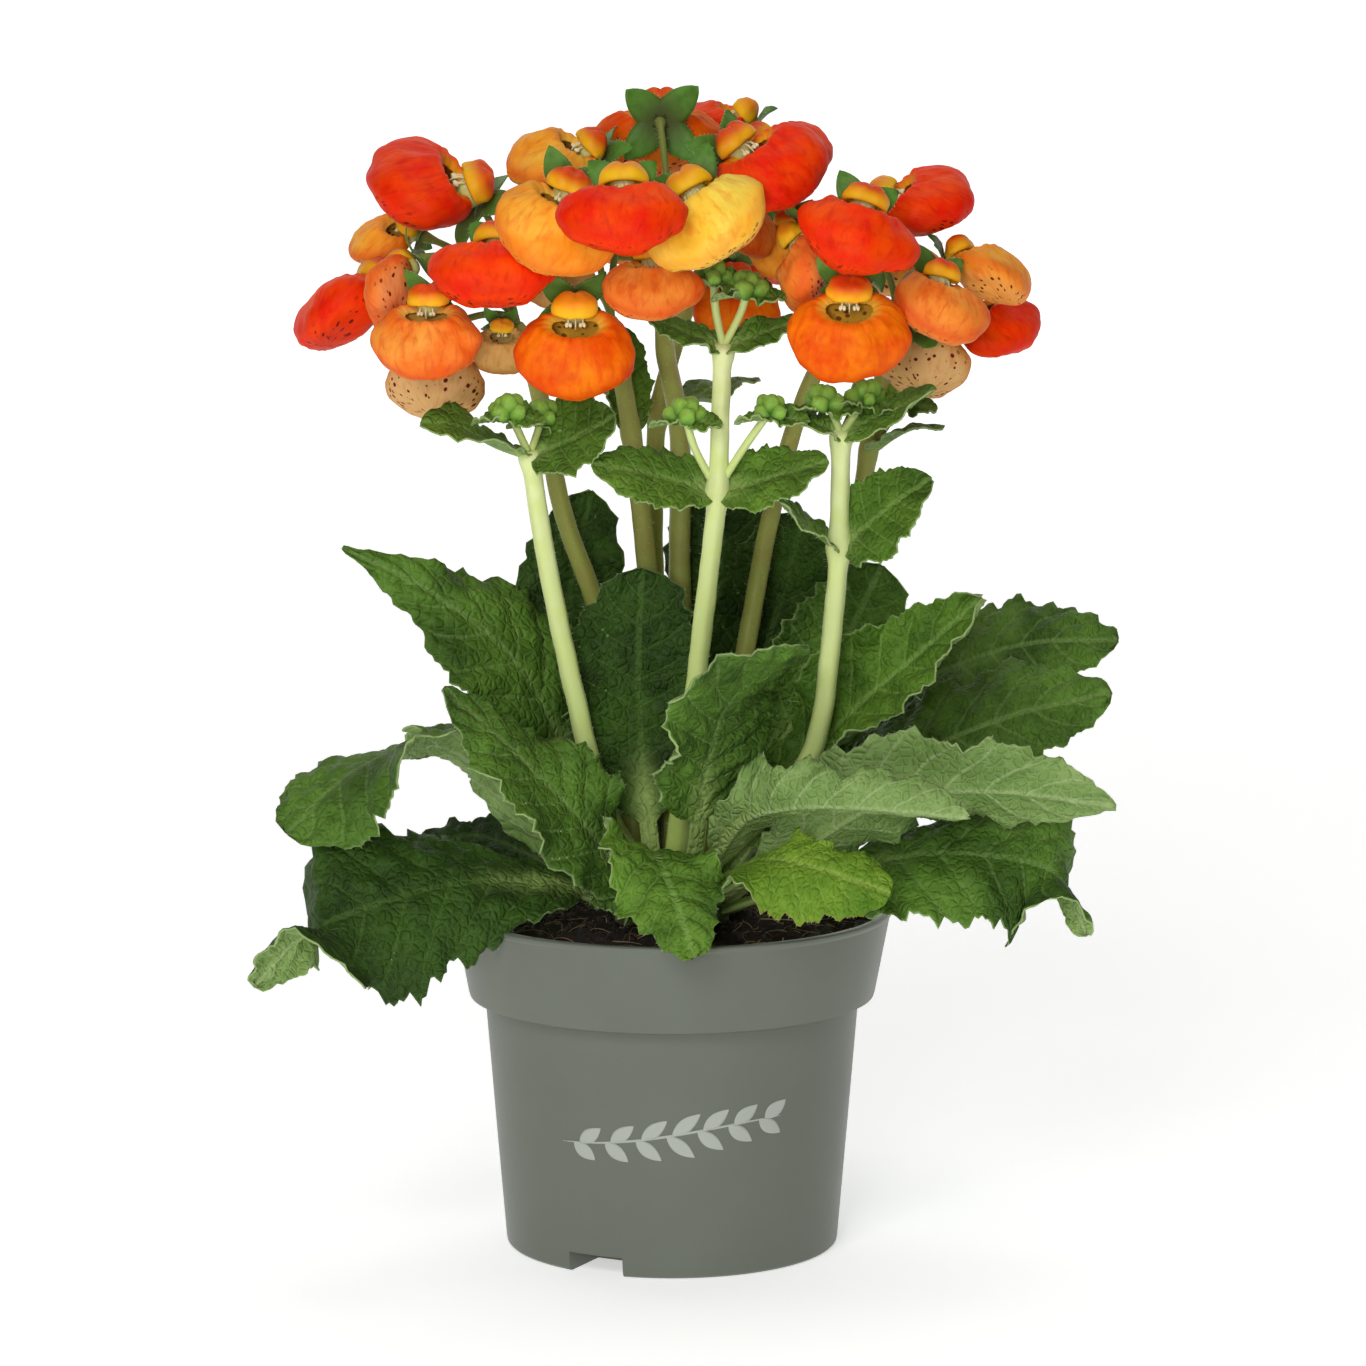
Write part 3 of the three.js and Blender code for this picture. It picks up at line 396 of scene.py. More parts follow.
def add(
    tree: bpy.types.NodeTree, kind: str, inputs: dict | None = None, **settings: object
) -> bpy.types.Node:
    """Adds a node with its settings and links.

    Args:
        tree: The material's nodes.
        kind: The node's type, without its leading ShaderNode.
        inputs: Sockets by name or number: another node's output to link, a hex colour or a value.
        **settings: The node's own options.

    Returns:
        The node.
    """
    node = tree.nodes.new("ShaderNode" + kind)
    for name, value in settings.items():
        setattr(node, name, value)
    for key, value in (inputs or {}).items():
        if isinstance(value, bpy.types.NodeSocket):
            tree.links.new(value, node.inputs[key])
        else:
            node.inputs[key].default_value = linear(value) if isinstance(value, str) else value
    return node


class Bench:
    """A material's nodes as they are laid, with short ways to lay the kinds in use; each gives its output."""

    def __init__(self, material: bpy.types.Material) -> None:
        """Starts on a material that uses nodes."""
        self.tree = material.node_tree
        self.shader = self.tree.nodes["Principled BSDF"]
        self.place = add(self.tree, "TexCoord").outputs["Object"]

    def chart(self) -> Socket:
        """The surface's own map, in mm."""
        return add(self.tree, "UVMap", uv_map="chart").outputs[0]

    def mark(self, name: str) -> Socket:
        """A mark of the mesh."""
        return add(self.tree, "Attribute", attribute_name=name).outputs["Fac"]

    def mix(self, share: Socket, under: Socket | str, over: Socket | str) -> Socket:
        """Blends two colours by a share of the second."""
        node = add(self.tree, "Mix", {0: share, 6: under, 7: over}, data_type="RGBA", blend_type="MIX")
        return node.outputs[2]

    def span(
        self, value: Socket, low: float | Socket, high: float | Socket,
        start: float = 0.0, end: float = 1.0, soft: bool = False,
    ) -> Socket:
        """Carries low to high over to start to end, in a straight line or softly."""
        kind = "SMOOTHSTEP" if soft else "LINEAR"
        return add(
            self.tree, "MapRange", {0: value, 1: low, 2: high, 3: start, 4: end}, interpolation_type=kind
        ).outputs[0]

    def noise(self, place: Socket, scale: float, detail: float = 2.0, **more: float) -> Socket:
        """Cloudy noise, of scale per unit of the place."""
        inputs = {"Vector": place, "Scale": scale, "Detail": detail, **more}
        return add(self.tree, "TexNoise", inputs).outputs[0]

    def maths(self, operation: str, *values: Socket | float, use_clamp: bool = False) -> Socket:
        """One sum on one to three values."""
        settings = {"operation": operation, "use_clamp": use_clamp}
        return add(self.tree, "Math", dict(enumerate(values)), **settings).outputs[0]

    def vector(self, operation: str, *values: Socket | Triple) -> Socket:
        """One sum on two vectors."""
        return add(self.tree, "VectorMath", dict(enumerate(values)), operation=operation).outputs[0]

    def finish(self, colour: Socket, gloss: Socket | float, specular: float, **others: object) -> None:
        """Gives the shader its colour, roughness, specular share and other sockets by lower-case names."""
        every = {"Base Color": colour, "Roughness": gloss, "Specular IOR Level": specular}
        every |= {name.replace("_", " ").title(): value for name, value in others.items()}
        for name, value in every.items():
            if isinstance(value, bpy.types.NodeSocket):
                self.tree.links.new(value, self.shader.inputs[name])
            else:
                self.shader.inputs[name].default_value = linear(value) if isinstance(value, str) else value

    def relief(self, height: Socket, strength: float, depth: float) -> None:
        """Roughens the surface by a height, depth mm deep."""
        bump = add(self.tree, "Bump", {"Height": height, "Strength": strength, "Distance": depth * MM})
        self.tree.links.new(bump.outputs[0], self.shader.inputs["Normal"])


class Finish:
    """What a surface is made of. Each kind says its name and lays its own nodes."""

    name: str

    def nodes(self, bench: Bench) -> None:
        """Lays the nodes of the finish, up to its shader."""
        raise NotImplementedError

    def material(self) -> bpy.types.Material:
        """Makes the material, or gives the one that is already made."""
        made = bpy.data.materials.get(f"look_{self.name}")
        if made is None:
            made = bpy.data.materials.new(f"look_{self.name}")
            made.use_nodes = True
            self.nodes(Bench(made))
        return made


@dataclass(frozen=True)
class LeafSkin(Finish):
    """The quilted, downy skin of a living leaf: soft sheen, sunken net of veins, paler ribs and margin.

    Reads the marks phase (veins lie at its whole numbers), rib (mm from the midrib), edge and stalk.
    """

    name: str
    deep: str
    fresh: str
    vein: str
    margin: str
    petiole: str = "#8fa85c"
    vein_share: float = 0.3
    net_share: float = 0.07
    relief: float = 0.8

    def nodes(self, bench: Bench) -> None:
        """Lays blotches, the net between the veins, the veins, the midrib, the margin and the petiole."""
        chart = bench.chart()
        blotch = bench.noise(bench.place, 55.0, 4.0, Roughness=0.6)
        flesh = bench.mix(bench.span(blotch, 0.36, 0.64), self.deep, self.fresh)
        # The net's meshes are about 2.4 mm across.
        wobble = add(bench.tree, "TexNoise", {"Vector": chart, "Scale": 0.5, "Detail": 2.0}).outputs[1]
        bent = bench.vector("ADD", chart, wobble)
        mesh = {"Vector": bent, "Scale": 0.42}
        net = add(bench.tree, "TexVoronoi", mesh, feature="DISTANCE_TO_EDGE").outputs[0]
        netted = bench.mix(bench.span(net, 0.0, 0.13, self.net_share, 0.0), flesh, self.vein)
        part = bench.maths("FRACT", bench.maths("ADD", bench.mark("phase"), 0.5))
        far = bench.maths("ABSOLUTE", bench.maths("SUBTRACT", part, 0.5))
        edge = bench.mark("edge")
        thin = bench.span(edge, 0.0, 0.8, self.vein_share, 0.0)
        vein = bench.maths("MULTIPLY", bench.span(far, 0.02, 0.085, 1.0, 0.0, soft=True), thin)
        veined = bench.mix(vein, netted, self.vein)
        ribbed = bench.mix(bench.span(bench.mark("rib"), 0.35, 1.25, 0.45, 0.0, soft=True), veined, self.vein)
        edged = bench.mix(bench.span(edge, 0.72, 1.0, 0.0, 0.5, soft=True), ribbed, self.margin)
        whole = bench.mix(bench.mark("stalk"), edged, self.petiole)
        grain = bench.noise(chart, 2.6, 3.0)
        cushion = bench.maths("MULTIPLY_ADD", grain, 0.3, bench.span(net, 0.0, 0.28, soft=True))
        bench.relief(bench.maths("MULTIPLY_ADD", vein, -1.2, cushion), self.relief, 0.5)
        sheen = {"sheen_weight": 0.03, "sheen_roughness": 0.4, "sheen_tint": "#dfeec0"}
        bench.finish(whole, bench.span(grain, 0.3, 0.7, 0.5, 0.66), 0.2, **sheen)


@dataclass(frozen=True)
class Petal(Finish):
    """The thin waxy skin of a pouch: satin, finely veined, flushed at its rim and spotted below.

    Reads the marks rim, under, throat and spots.
    """

    name: str
    body: str
    glow: str
    rim: str
    under: str
    heart: str
    spot: str = "#6b1508"
    flush: float = 0.8

    def nodes(self, bench: Bench) -> None:
        """Lays the body's cloudy colour, rim, underside, throat, branching veins and dark spots."""
        chart = bench.chart()
        cloud = bench.noise(bench.place, 90.0, 4.0, Roughness=0.62)
        body = bench.mix(bench.span(cloud, 0.35, 0.65), self.body, self.glow)
        below = bench.mix(bench.mark("under"), body, self.under)
        cloudy = bench.span(cloud, 0.3, 0.7, self.flush * 0.5, self.flush)
        rimmed = bench.mix(bench.maths("MULTIPLY", bench.mark("rim"), cloudy), below, self.rim)
        # Fine veins run from the throat over the pouch, about 1.6 mm apart, drawn out along it.
        drawn = bench.vector("MULTIPLY", chart, (1.1, 0.22, 1.0))
        strand = bench.noise(drawn, 0.6, 5.0, Distortion=0.6)
        veined = bench.mix(bench.span(strand, 0.5, 0.68, 0.0, 0.45), rimmed, self.rim)
        hearted = bench.mix(bench.mark("throat"), veined, self.heart)
        # Spots lie about 3 mm apart, and are longer along the pouch than across it.
        long = bench.vector("MULTIPLY", chart, (1.25, 0.75, 1.0))
        cell = add(bench.tree, "TexVoronoi", {"Vector": long, "Scale": 0.42, "Randomness": 0.85})
        size = bench.maths("MULTIPLY_ADD", cell.outputs["Color"], 0.22, 0.13)
        disc = bench.span(cell.outputs["Distance"], size, bench.maths("ADD", size, 0.07), 1.0, 0.0)
        dot = bench.maths("MULTIPLY", disc, bench.mark("spots"), use_clamp=True)
        crepe = bench.noise(drawn, 1.1, 4.0)
        bench.relief(bench.maths("MULTIPLY_ADD", strand, 0.7, crepe), 0.35, 0.35)
        bench.finish(bench.mix(dot, hearted, self.spot), bench.span(crepe, 0.3, 0.7, 0.42, 0.6), 0.08)


@dataclass(frozen=True)
class Flesh(Finish):
    """Soft plant skin in two shades that blend by the mark shade and a cloud: stems, sepals, buds, hoods."""

    name: str
    base: str
    tip: str
    cloud_colour: str
    cloud_share: float = 0.4
    cloud_size: float = 5.0  # mm
    roughness: float = 0.5
    sheen: float = 0.1
    relief: float = 0.25

    def nodes(self, bench: Bench) -> None:
        """Lays the blend from base to tip, the cloud over it and a fine grain."""
        both = bench.mix(bench.mark("shade"), self.base, self.tip)
        cloud = bench.noise(bench.place, 1 / (self.cloud_size * MM), 4.0)
        whole = bench.mix(bench.span(cloud, 0.42, 0.68, 0.0, self.cloud_share), both, self.cloud_colour)
        grain = bench.noise(bench.place, 900.0)
        bench.relief(grain, self.relief, 0.2)
        gloss = bench.span(grain, 0.3, 0.7, self.roughness - 0.06, self.roughness + 0.08)
        bench.finish(whole, gloss, 0.2, sheen_weight=self.sheen, sheen_roughness=0.4)


@dataclass(frozen=True)
class Moulding(Finish):
    """Injection-moulded polypropylene: an even satin face with the faintest orange peel."""

    name: str
    colour: str
    worn: str

    def nodes(self, bench: Bench) -> None:
        """Lays a barely uneven colour, handling marks in the gloss and the peel of the mould."""
        haze = bench.noise(bench.place, 38.0, 5.0, Roughness=0.65)
        colour = bench.mix(bench.span(haze, 0.4, 0.75, 0.0, 0.35), self.colour, self.worn)
        # Orange peel, 0.7 mm across.
        bench.relief(bench.noise(bench.place, 1400.0, 1.0), 0.12, 0.05)
        bench.finish(colour, bench.span(haze, 0.3, 0.7, 0.34, 0.44), 0.2)
        bench.shader.inputs["IOR"].default_value = 1.49


@dataclass(frozen=True)
class Compost(Finish):
    """Damp dark peat: near black with brown crumbs, rough, with a little wet glint."""

    name: str
    dark: str
    brown: str
    pale: str

    def nodes(self, bench: Bench) -> None:
        """Lays crumbs of three browns and their relief."""
        crumb = bench.noise(bench.place, 420.0, 6.0, Roughness=0.7)
        ramp = add(bench.tree, "ValToRGB", {0: crumb})
        stops = ramp.color_ramp.elements
        stops.new(0.5)
        for stop, place, code in zip(stops, (0.3, 0.56, 0.74), (self.dark, self.brown, self.pale)):
            stop.position, stop.color = place, linear(code)
        bench.relief(crumb, 0.9, 0.9)
        specular = bench.shader.inputs["Specular IOR Level"].default_value
        bench.finish(ramp.outputs[0], bench.span(crumb, 0.3, 0.7, 0.62, 0.95), specular)


LEAF_MARKS = ("phase", "rib", "edge", "stalk")
LEAF_TOP = LeafSkin("leaf_top", "#335114", "#5b822c", "#7d9c56", "#86a560")
LEAF_FRESH = LeafSkin("leaf_top_fresh", "#3c5e14", "#648c2c", "#84a654", "#8cae5c")
# Painted shade: a darker copy of the top finish, for leaves that lie in shade.
LEAF_SHADE = LeafSkin("leaf_top_shade", "#1e340b", "#3a5a1a", "#50702f", "#5e7c40", relief=0.9)
LEAF_LIME = LeafSkin(
    "leaf_top_lime", "#527c18", "#82a634", "#a4c058", "#a2843a", vein_share=0.2, net_share=0.05
)
LEAF_UNDER = LeafSkin(
    "leaf_underside", "#6a8a44", "#88a55e", "#aabf84", "#a3ba7c",
    petiole="#a3bb6c", vein_share=0.45, net_share=0.16,
)
# Painted shade: a darker copy of the underside finish, for leaves that lie in shade.
LEAF_UNDER_SHADED = LeafSkin(
    "leaf_underside_shaded", "#4a6a30", "#5f8040", "#88a264", "#829c5c",
    petiole="#8ba658", vein_share=0.4, net_share=0.14,
)
DOWN = Flesh("down_hair", "#dfe8cf", "#f4f7ea", "#cfdab8", roughness=0.6, relief=0.0)


class Face(Enum):
    """Finishes of a leaf's two faces. Those built on the darker leaf_top_shade finish, or on the darker
    underside, paint the shade of leaves that lie deep in the plant.
    """

    LIT = (LEAF_TOP, LEAF_UNDER)
    FRESH = (LEAF_FRESH, LEAF_UNDER)
    SHADED = (LEAF_SHADE, LEAF_UNDER_SHADED)
    # Painted shade on the top face only, with the usual underside.
    DEEP = (LEAF_SHADE, LEAF_UNDER)
    LIME = (LEAF_LIME, LEAF_UNDER)


# ---- leaves ----
@dataclass(frozen=True)
class Leaf:
    """One leaf: a petiole and a toothed, quilted blade along a curved midrib."""

    path: tuple[Triple, ...]
    width: float  # half the blade's width
    roll: tuple[float, ...]  # degrees that the blade turns about the midrib, spread from base to tip
    cup: Pair  # radians that each half bends at base and tip, positive up
    face: Face = Face.LIT
    heading: Pair | None = None
    petiole: float = 0.16
    waves: float = 2.0
    ruffle: float = 4.2
    tip: float = 0.65  # how pointed the blade ends: 0.5 is round
    form: tuple[float, ...] = (1.0, 1.0)  # shares of the half-width, spread from base to tip
    curl: float = 2.8  # height of the finer waves of the margin
    laterals: float = 9.0  # side veins on each side
    teeth: float = 12.0  # large teeth on each side
    quilt: float = 1.6  # how far the blade puffs up between the side veins
    rows: int = 104
    columns: int = 36
    stem: float = 2.4  # half-width of the petiole
    root: float = 3.2  # thickness of the petiole
    blade: float = 0.5  # thickness of the blade
    seed: int = 1
    fringe: int = 260  # hairs on the margin and midrib

    def build(self, skin: Skin, slots: tuple[int, int], hair_slot: int | None = None) -> None:
        """Adds the leaf to a skin.

        Along the midrib s and across t from -1 to 1, a place is the midrib's point, plus t half-widths
        over the rolled side vector bent into an arc of the cup's angle, plus waves that grow with t. The
        half-width follows u^0.6 (1-u)^tip of the blade's own share u of the way, times the teeth.
        Between side veins, which lie at whole numbers of laterals (u - 0.16 |t|^1.15), the blade puffs up
        as the root of the sine of the phase.

        Args:
            skin: What the leaf is added to.
            slots: Numbers of the finishes of its two faces.
            hair_slot: Number of the hairs' finish, if it has any.
        """
        s = np.linspace(0, 1, self.rows)[:, None]
        t = np.linspace(-1, 1, self.columns + 1)[None, :]
        u = np.clip((s - self.petiole) / (1 - self.petiole), 0, 1)
        edge = np.abs(t)
        centre, side, face = self._frame(s)
        half = self._half_width(s, t, u)
        bend = blend(self.cup, s) * np.minimum(1, 4 * u)
        bend = np.where(np.abs(bend) < 1e-3, 1e-3, bend)
        reach, lift = half * np.sin(bend * t) / bend, half * (1 - np.cos(bend * t)) / bend
        middle = centre + reach[..., None] * side + (lift + self._waves(s, t, u))[..., None] * face
        normal = grid_normals(middle)
        normal = normal * np.sign((normal * face).sum(-1).mean())
        phase = self.laterals * (u - 0.16 * edge**1.15)
        puff = (np.abs(np.sin(np.pi * phase)) ** 0.7 - 0.6) * ease(edge, 0.03, 0.25) * (1 - 0.3 * edge)
        cells = ripple(middle, 5.0, self.seed + 7) * ease(edge, 0.05, 0.2)
        rib = edge * half
        groove = np.exp(-((rib / 1.2) ** 2)) * ease(u, 0, 0.1)
        quilt = self.quilt * ease(u, 0.0, 0.12) * (1.15 * puff + 0.4 * cells)
        middle = middle + (quilt - 0.55 * groove)[..., None] * normal
        root = np.sqrt(np.clip(1 - s / (1.8 * self.petiole), 0, 1)) * (1 - 0.65 * t * t)
        thick = self.blade + (self.root - self.blade) * root
        keel = (0.9 * np.exp(-((rib / 1.1) ** 2)) * (1 - u)) * (u > 0)
        top = middle + (thick / 2)[..., None] * normal
        under = middle - (thick / 2 + keel * min(1.0, self.width / 12))[..., None] * normal
        length = np.linalg.norm(np.diff(centre[:, 0], axis=0), axis=1).sum()
        chart = np.stack(np.broadcast_arrays(s * length + 37 * self.seed, t * half), -1)
        strip = np.where(u > 0, np.exp(-((rib / (1.3 * self.stem)) ** 2)), 1)
        marks = {"phase": phase, "rib": rib, "edge": edge**8 * ease(u, 0, 0.1)}
        marks["stalk"] = (1 - ease(u, 0.0, 0.35)) * strip
        steps = np.cross(np.gradient(middle, axis=0), np.gradient(middle, axis=1))
        if (steps * normal).sum(-1).mean() < 0:
            top, under, chart = top[:, ::-1], under[:, ::-1], chart[:, ::-1]
            marks = {name: np.broadcast_to(v, chart.shape[:2])[:, ::-1] for name, v in marks.items()}
        skin.slab(top, under, slots, chart, **marks)
        if hair_slot is not None and self.fringe:
            self._down(skin, top, under, hair_slot)

    def _frame(self, s: Array) -> tuple[Array, Array, Array]:
        """The midrib's places, and the unit vectors across and square to the blade, rolled about it."""
        spine = Spine(self.path)
        centre, along = spine.at(s[:, 0])[:, None], spine.tangent(s[:, 0])[:, None]
        ends = np.array(self.path[-1]) - np.array(self.path[0])
        way = unit(np.array([*(self.heading or ends[:2]), 0.0]))
        left = np.cross([0, 0, 1.0], way)
        across = unit(left - (along @ left)[..., None] * along)
        up = np.cross(along, across)
        roll = np.radians(blend(self.roll, s))[..., None]
        return centre, np.cos(roll) * across + np.sin(roll) * up, np.cos(roll) * up - np.sin(roll) * across

    def _half_width(self, s: Array, t: Array, u: Array) -> Array:
        """Half the width at each place: the outline, large and small teeth, and a margin that wanders."""
        edge = np.abs(t)
        outline = (1.95 + 0.9 * (self.tip - 0.5)) * u**0.6 * (1 - u) ** self.tip * blend(self.form, u)
        place = (u + 0.02 * ripple(np.dstack([s * 9, 0 * s, 0 * s]), 1.6, self.seed)) * self.teeth
        large = (place % 1.0) ** 1.6
        place = (u + 0.1 * self.teeth / 7) * self.teeth * 2.6 + np.where(t < 0, 0.4, 0)
        small = (place % 1.0) ** 1.4
        bite = 0.19 * np.where(t > 0, large, ((place / 2.6 + 0.5) % 1.0) ** 1.6)
        tooth = (bite + 0.07 * small - 0.11) * ease(edge, 0.6, 1.0) * ease(u, 0.02, 0.12)
        shore = np.dstack(np.broadcast_arrays(s * 70, np.sign(t) * 9 + self.seed, 0 * t * s))
        wander = 0.13 * ripple(shore, 17, self.seed + 3)
        wander = wander + 0.07 * np.sign(t) * math.sin(self.seed * 2.3)
        stem = self.stem * (1 - 0.8 * u)
        return stem + (self.width - stem) * outline * (1 + tooth + wander * edge)

    def _waves(self, s: Array, t: Array, u: Array) -> Array:
        """Height of the blade's broad waves and of the finer curls of its margin."""
        rng = np.random.default_rng(self.seed)
        grow = np.minimum(1, 3 * u) * (1 - u * u)
        # Lets a piece stand for a solid: it rides on the plant's one body, and the solid is hidden.
        phases = TAU * self.waves * s + np.where(t < 0, 2, 0)
        broad = self.ruffle * t * t * grow * np.sin(phases)
        finer = TAU * (3.4 * self.waves) * s + np.where(t < 0, rng.uniform(0, TAU), rng.uniform(0, TAU))
        return broad + self.curl * np.abs(t) ** 3 * grow * np.sin(finer + 1.5 * np.sin(TAU * s))

    def _down(self, skin: Skin, top: Array, under: Array, slot: int) -> None:
        """Adds hairs that stand out from the margins and the keel, at places picked at random."""
        rng = np.random.default_rng(self.seed + 50)
        row = rng.integers(4, self.rows - 1, self.fringe)
        column = rng.choice([0, -1, self.columns // 2], self.fringe, p=[0.38, 0.38, 0.24])
        edge = (top[row, column] + under[row, column]) / 2
        inner = top[row, np.where(column == 0, 2, np.where(column == -1, -3, self.columns // 2))]
        keel = column == self.columns // 2
        ways = np.where(keel[:, None], under[row, column] - top[row, column], edge - inner)
        roots = np.where(keel[:, None], under[row, column], edge)
        hairs(skin, roots, unit(ways), 0.9, HAIR, slot, self.seed + 60)


BASAL_LEAVES: dict[str, Leaf] = {
    # Painted shade: this leaf takes the darker shaded top finish.
    "leaf_left_low": Leaf(
        ((-10, -5.5, 91), (-30, -21, 102), (-54, -36, 106), (-78, -46, 102), (-98, -51, 94), (-110, -52, 81)),
        22, (-20, -30, -40, -50, -60, 60, 90), (-0.5, -0.7), Face.DEEP, seed=11,
        form=(0.9, 1.0, 1.15, 1.3, 1.15, 0.55, 0.5), tip=0.5, waves=1.6,
    ),
    "leaf_left_mid": Leaf(
        ((-10, -2, 91), (-30, -10, 111), (-59, -22, 140), (-83, -30, 136), (-102, -36, 119)),
        22, (35, 20, -30), (0.4, -0.4), Face.LIT, seed=12, form=(0.9, 1.1, 1.25), tip=0.5,
    ),
    "leaf_left_high": Leaf(
        ((-10, 2, 93), (-18, 5, 103), (-27, 6, 128), (-41, 2, 158), (-63, -4, 178), (-88, -10, 192)),
        20, (-35, -50, -75), (-0.2, -0.4), Face.LIT, petiole=0.3, seed=13,
        form=(1.1, 1.35, 1.25, 0.6, 0.3), tip=0.8,
    ),
    "leaf_front_up": Leaf(
        ((1, -11, 94), (6, -30, 112), (9, -41, 138), (17, -47, 158), (36, -49, 171)),
        22, (160, 190), (0.3, -0.2), Face.LIT, petiole=0.36, seed=14,
        form=(1.0, 1.1, 1.15), tip=0.45, teeth=9,
    ),
    "leaf_right_narrow": Leaf(
        ((10, -5, 95), (27, -13, 122), (45, -18, 146), (64, -23, 164), (82, -28, 181)),
        17, (50, 60), (0.7, 0.9), Face.FRESH, seed=15, tip=0.6,
    ),
    "leaf_right_high": Leaf(
        ((11.8, 5, 90.5), (35, 20, 118), (58, 20, 145), (80, 18, 157), (100, 14, 163), (121, 9, 164)),
        22, (10, 30, 45), (-0.2, -0.4), Face.LIT, petiole=0.25, seed=16, form=(1.0, 1.2, 1.1),
    ),
    "leaf_right_mid": Leaf(
        ((11, -0.2, 90.8), (38, -3.5, 113.5), (62, -6, 133), (90, -9, 146), (118, -11, 153)),
        21, (20, 40, 50), (-0.3, -0.4), Face.LIT, seed=17, form=(0.9, 1.1, 1.15),
    ),
    "leaf_right_front": Leaf(
        ((9, -7, 93), (34, -28, 113.5), (58, -38, 129), (86, -43, 132), (117, -44, 128)),
        23, (-30, -60), (0.5, 0.3), Face.LIT, seed=18, tip=0.8, quilt=0.9,
    ),
    "leaf_right_low": Leaf(
        ((10.5, -3, 90.6), (40, -21, 104.5), (66, -33, 113), (90, -39, 113), (103, -42, 108), (110, -43, 93)),
        21, (0, 15, 30, 40, 45, 50, -20, -70), (-0.4, -0.6), Face.LIT, seed=19,
        form=(1.0, 1.1, 1.2, 1.2, 1.1, 0.9, 0.45, 0.5), tip=0.5,
    ),
    "leaf_front_rolled": Leaf(
        ((6, -10, 95), (17, -37, 121), (30, -54, 129.5), (51, -62, 131), (77, -66, 129)),
        14, (-30, -50), (1.1, 1.6), Face.LIT, seed=20, quilt=0.7, tip=0.5, ruffle=3.0, curl=3.6,
    ),
    "leaf_front_bright": Leaf(
        ((5.5, -10, 91), (13, -37, 107), (24, -56, 116), (39, -65, 115), (57, -68, 109)),
        15, (10, 40), (-0.4, -0.6), Face.LIME, seed=21, quilt=0.6, tip=0.5,
    ),
    "leaf_front_centre": Leaf(
        ((-1.5, -11, 90.8), (-5, -36, 112), (-4, -54, 117), (1, -66, 107), (6, -72, 93)),
        15, (0, -10, 20), (0.4, -0.6), Face.FRESH, seed=22,
        form=(1.0, 1.1, 0.8), tip=0.5, teeth=8, ruffle=5.5, curl=4.0,
    ),
    "leaf_back_left": Leaf(
        ((-5, 9, 92), (-30, 36, 122), (-54, 60, 132), (-72, 82, 120)),
        26, (0, 10), (0.1, -0.5), Face.LIT, seed=23,
    ),
    "leaf_back_right": Leaf(
        ((9.2, 9.4, 90.6), (37, 41, 119), (61, 60, 132), (82, 80, 121)),
        26, (0, -10), (0.1, -0.5), Face.LIT, seed=24,
    ),
}


BACKWARDS = (0.0, 1.0)  # the way that an upright leaf's back faces, so that its blade lies across X


def crown_leaf(
    path: tuple[Triple, ...],
    width: float,
    seed: int,
    face: Face,
    roll: tuple[float, ...],
    cup: Pair,
    **more: object,
) -> Leaf:
    """A leaf of the crown, on a coarser grid than the free ones."""
    return Leaf(path, width, roll, cup, face, seed=seed, rows=66, columns=24, **more)


def upright(
    path: tuple[Triple, ...], width: float, seed: int, petiole: float = 0.3, face: Face = Face.SHADED
) -> Leaf:
    """A crown leaf that stands up between the stems, with its blade across X. By default it takes the darker
    finishes that paint the shade among the stems.
    """
    level, cup = (0, 0), (0.3, 0.2)
    return crown_leaf(path, width, seed, face, level, cup, heading=BACKWARDS, petiole=petiole, tip=0.5)


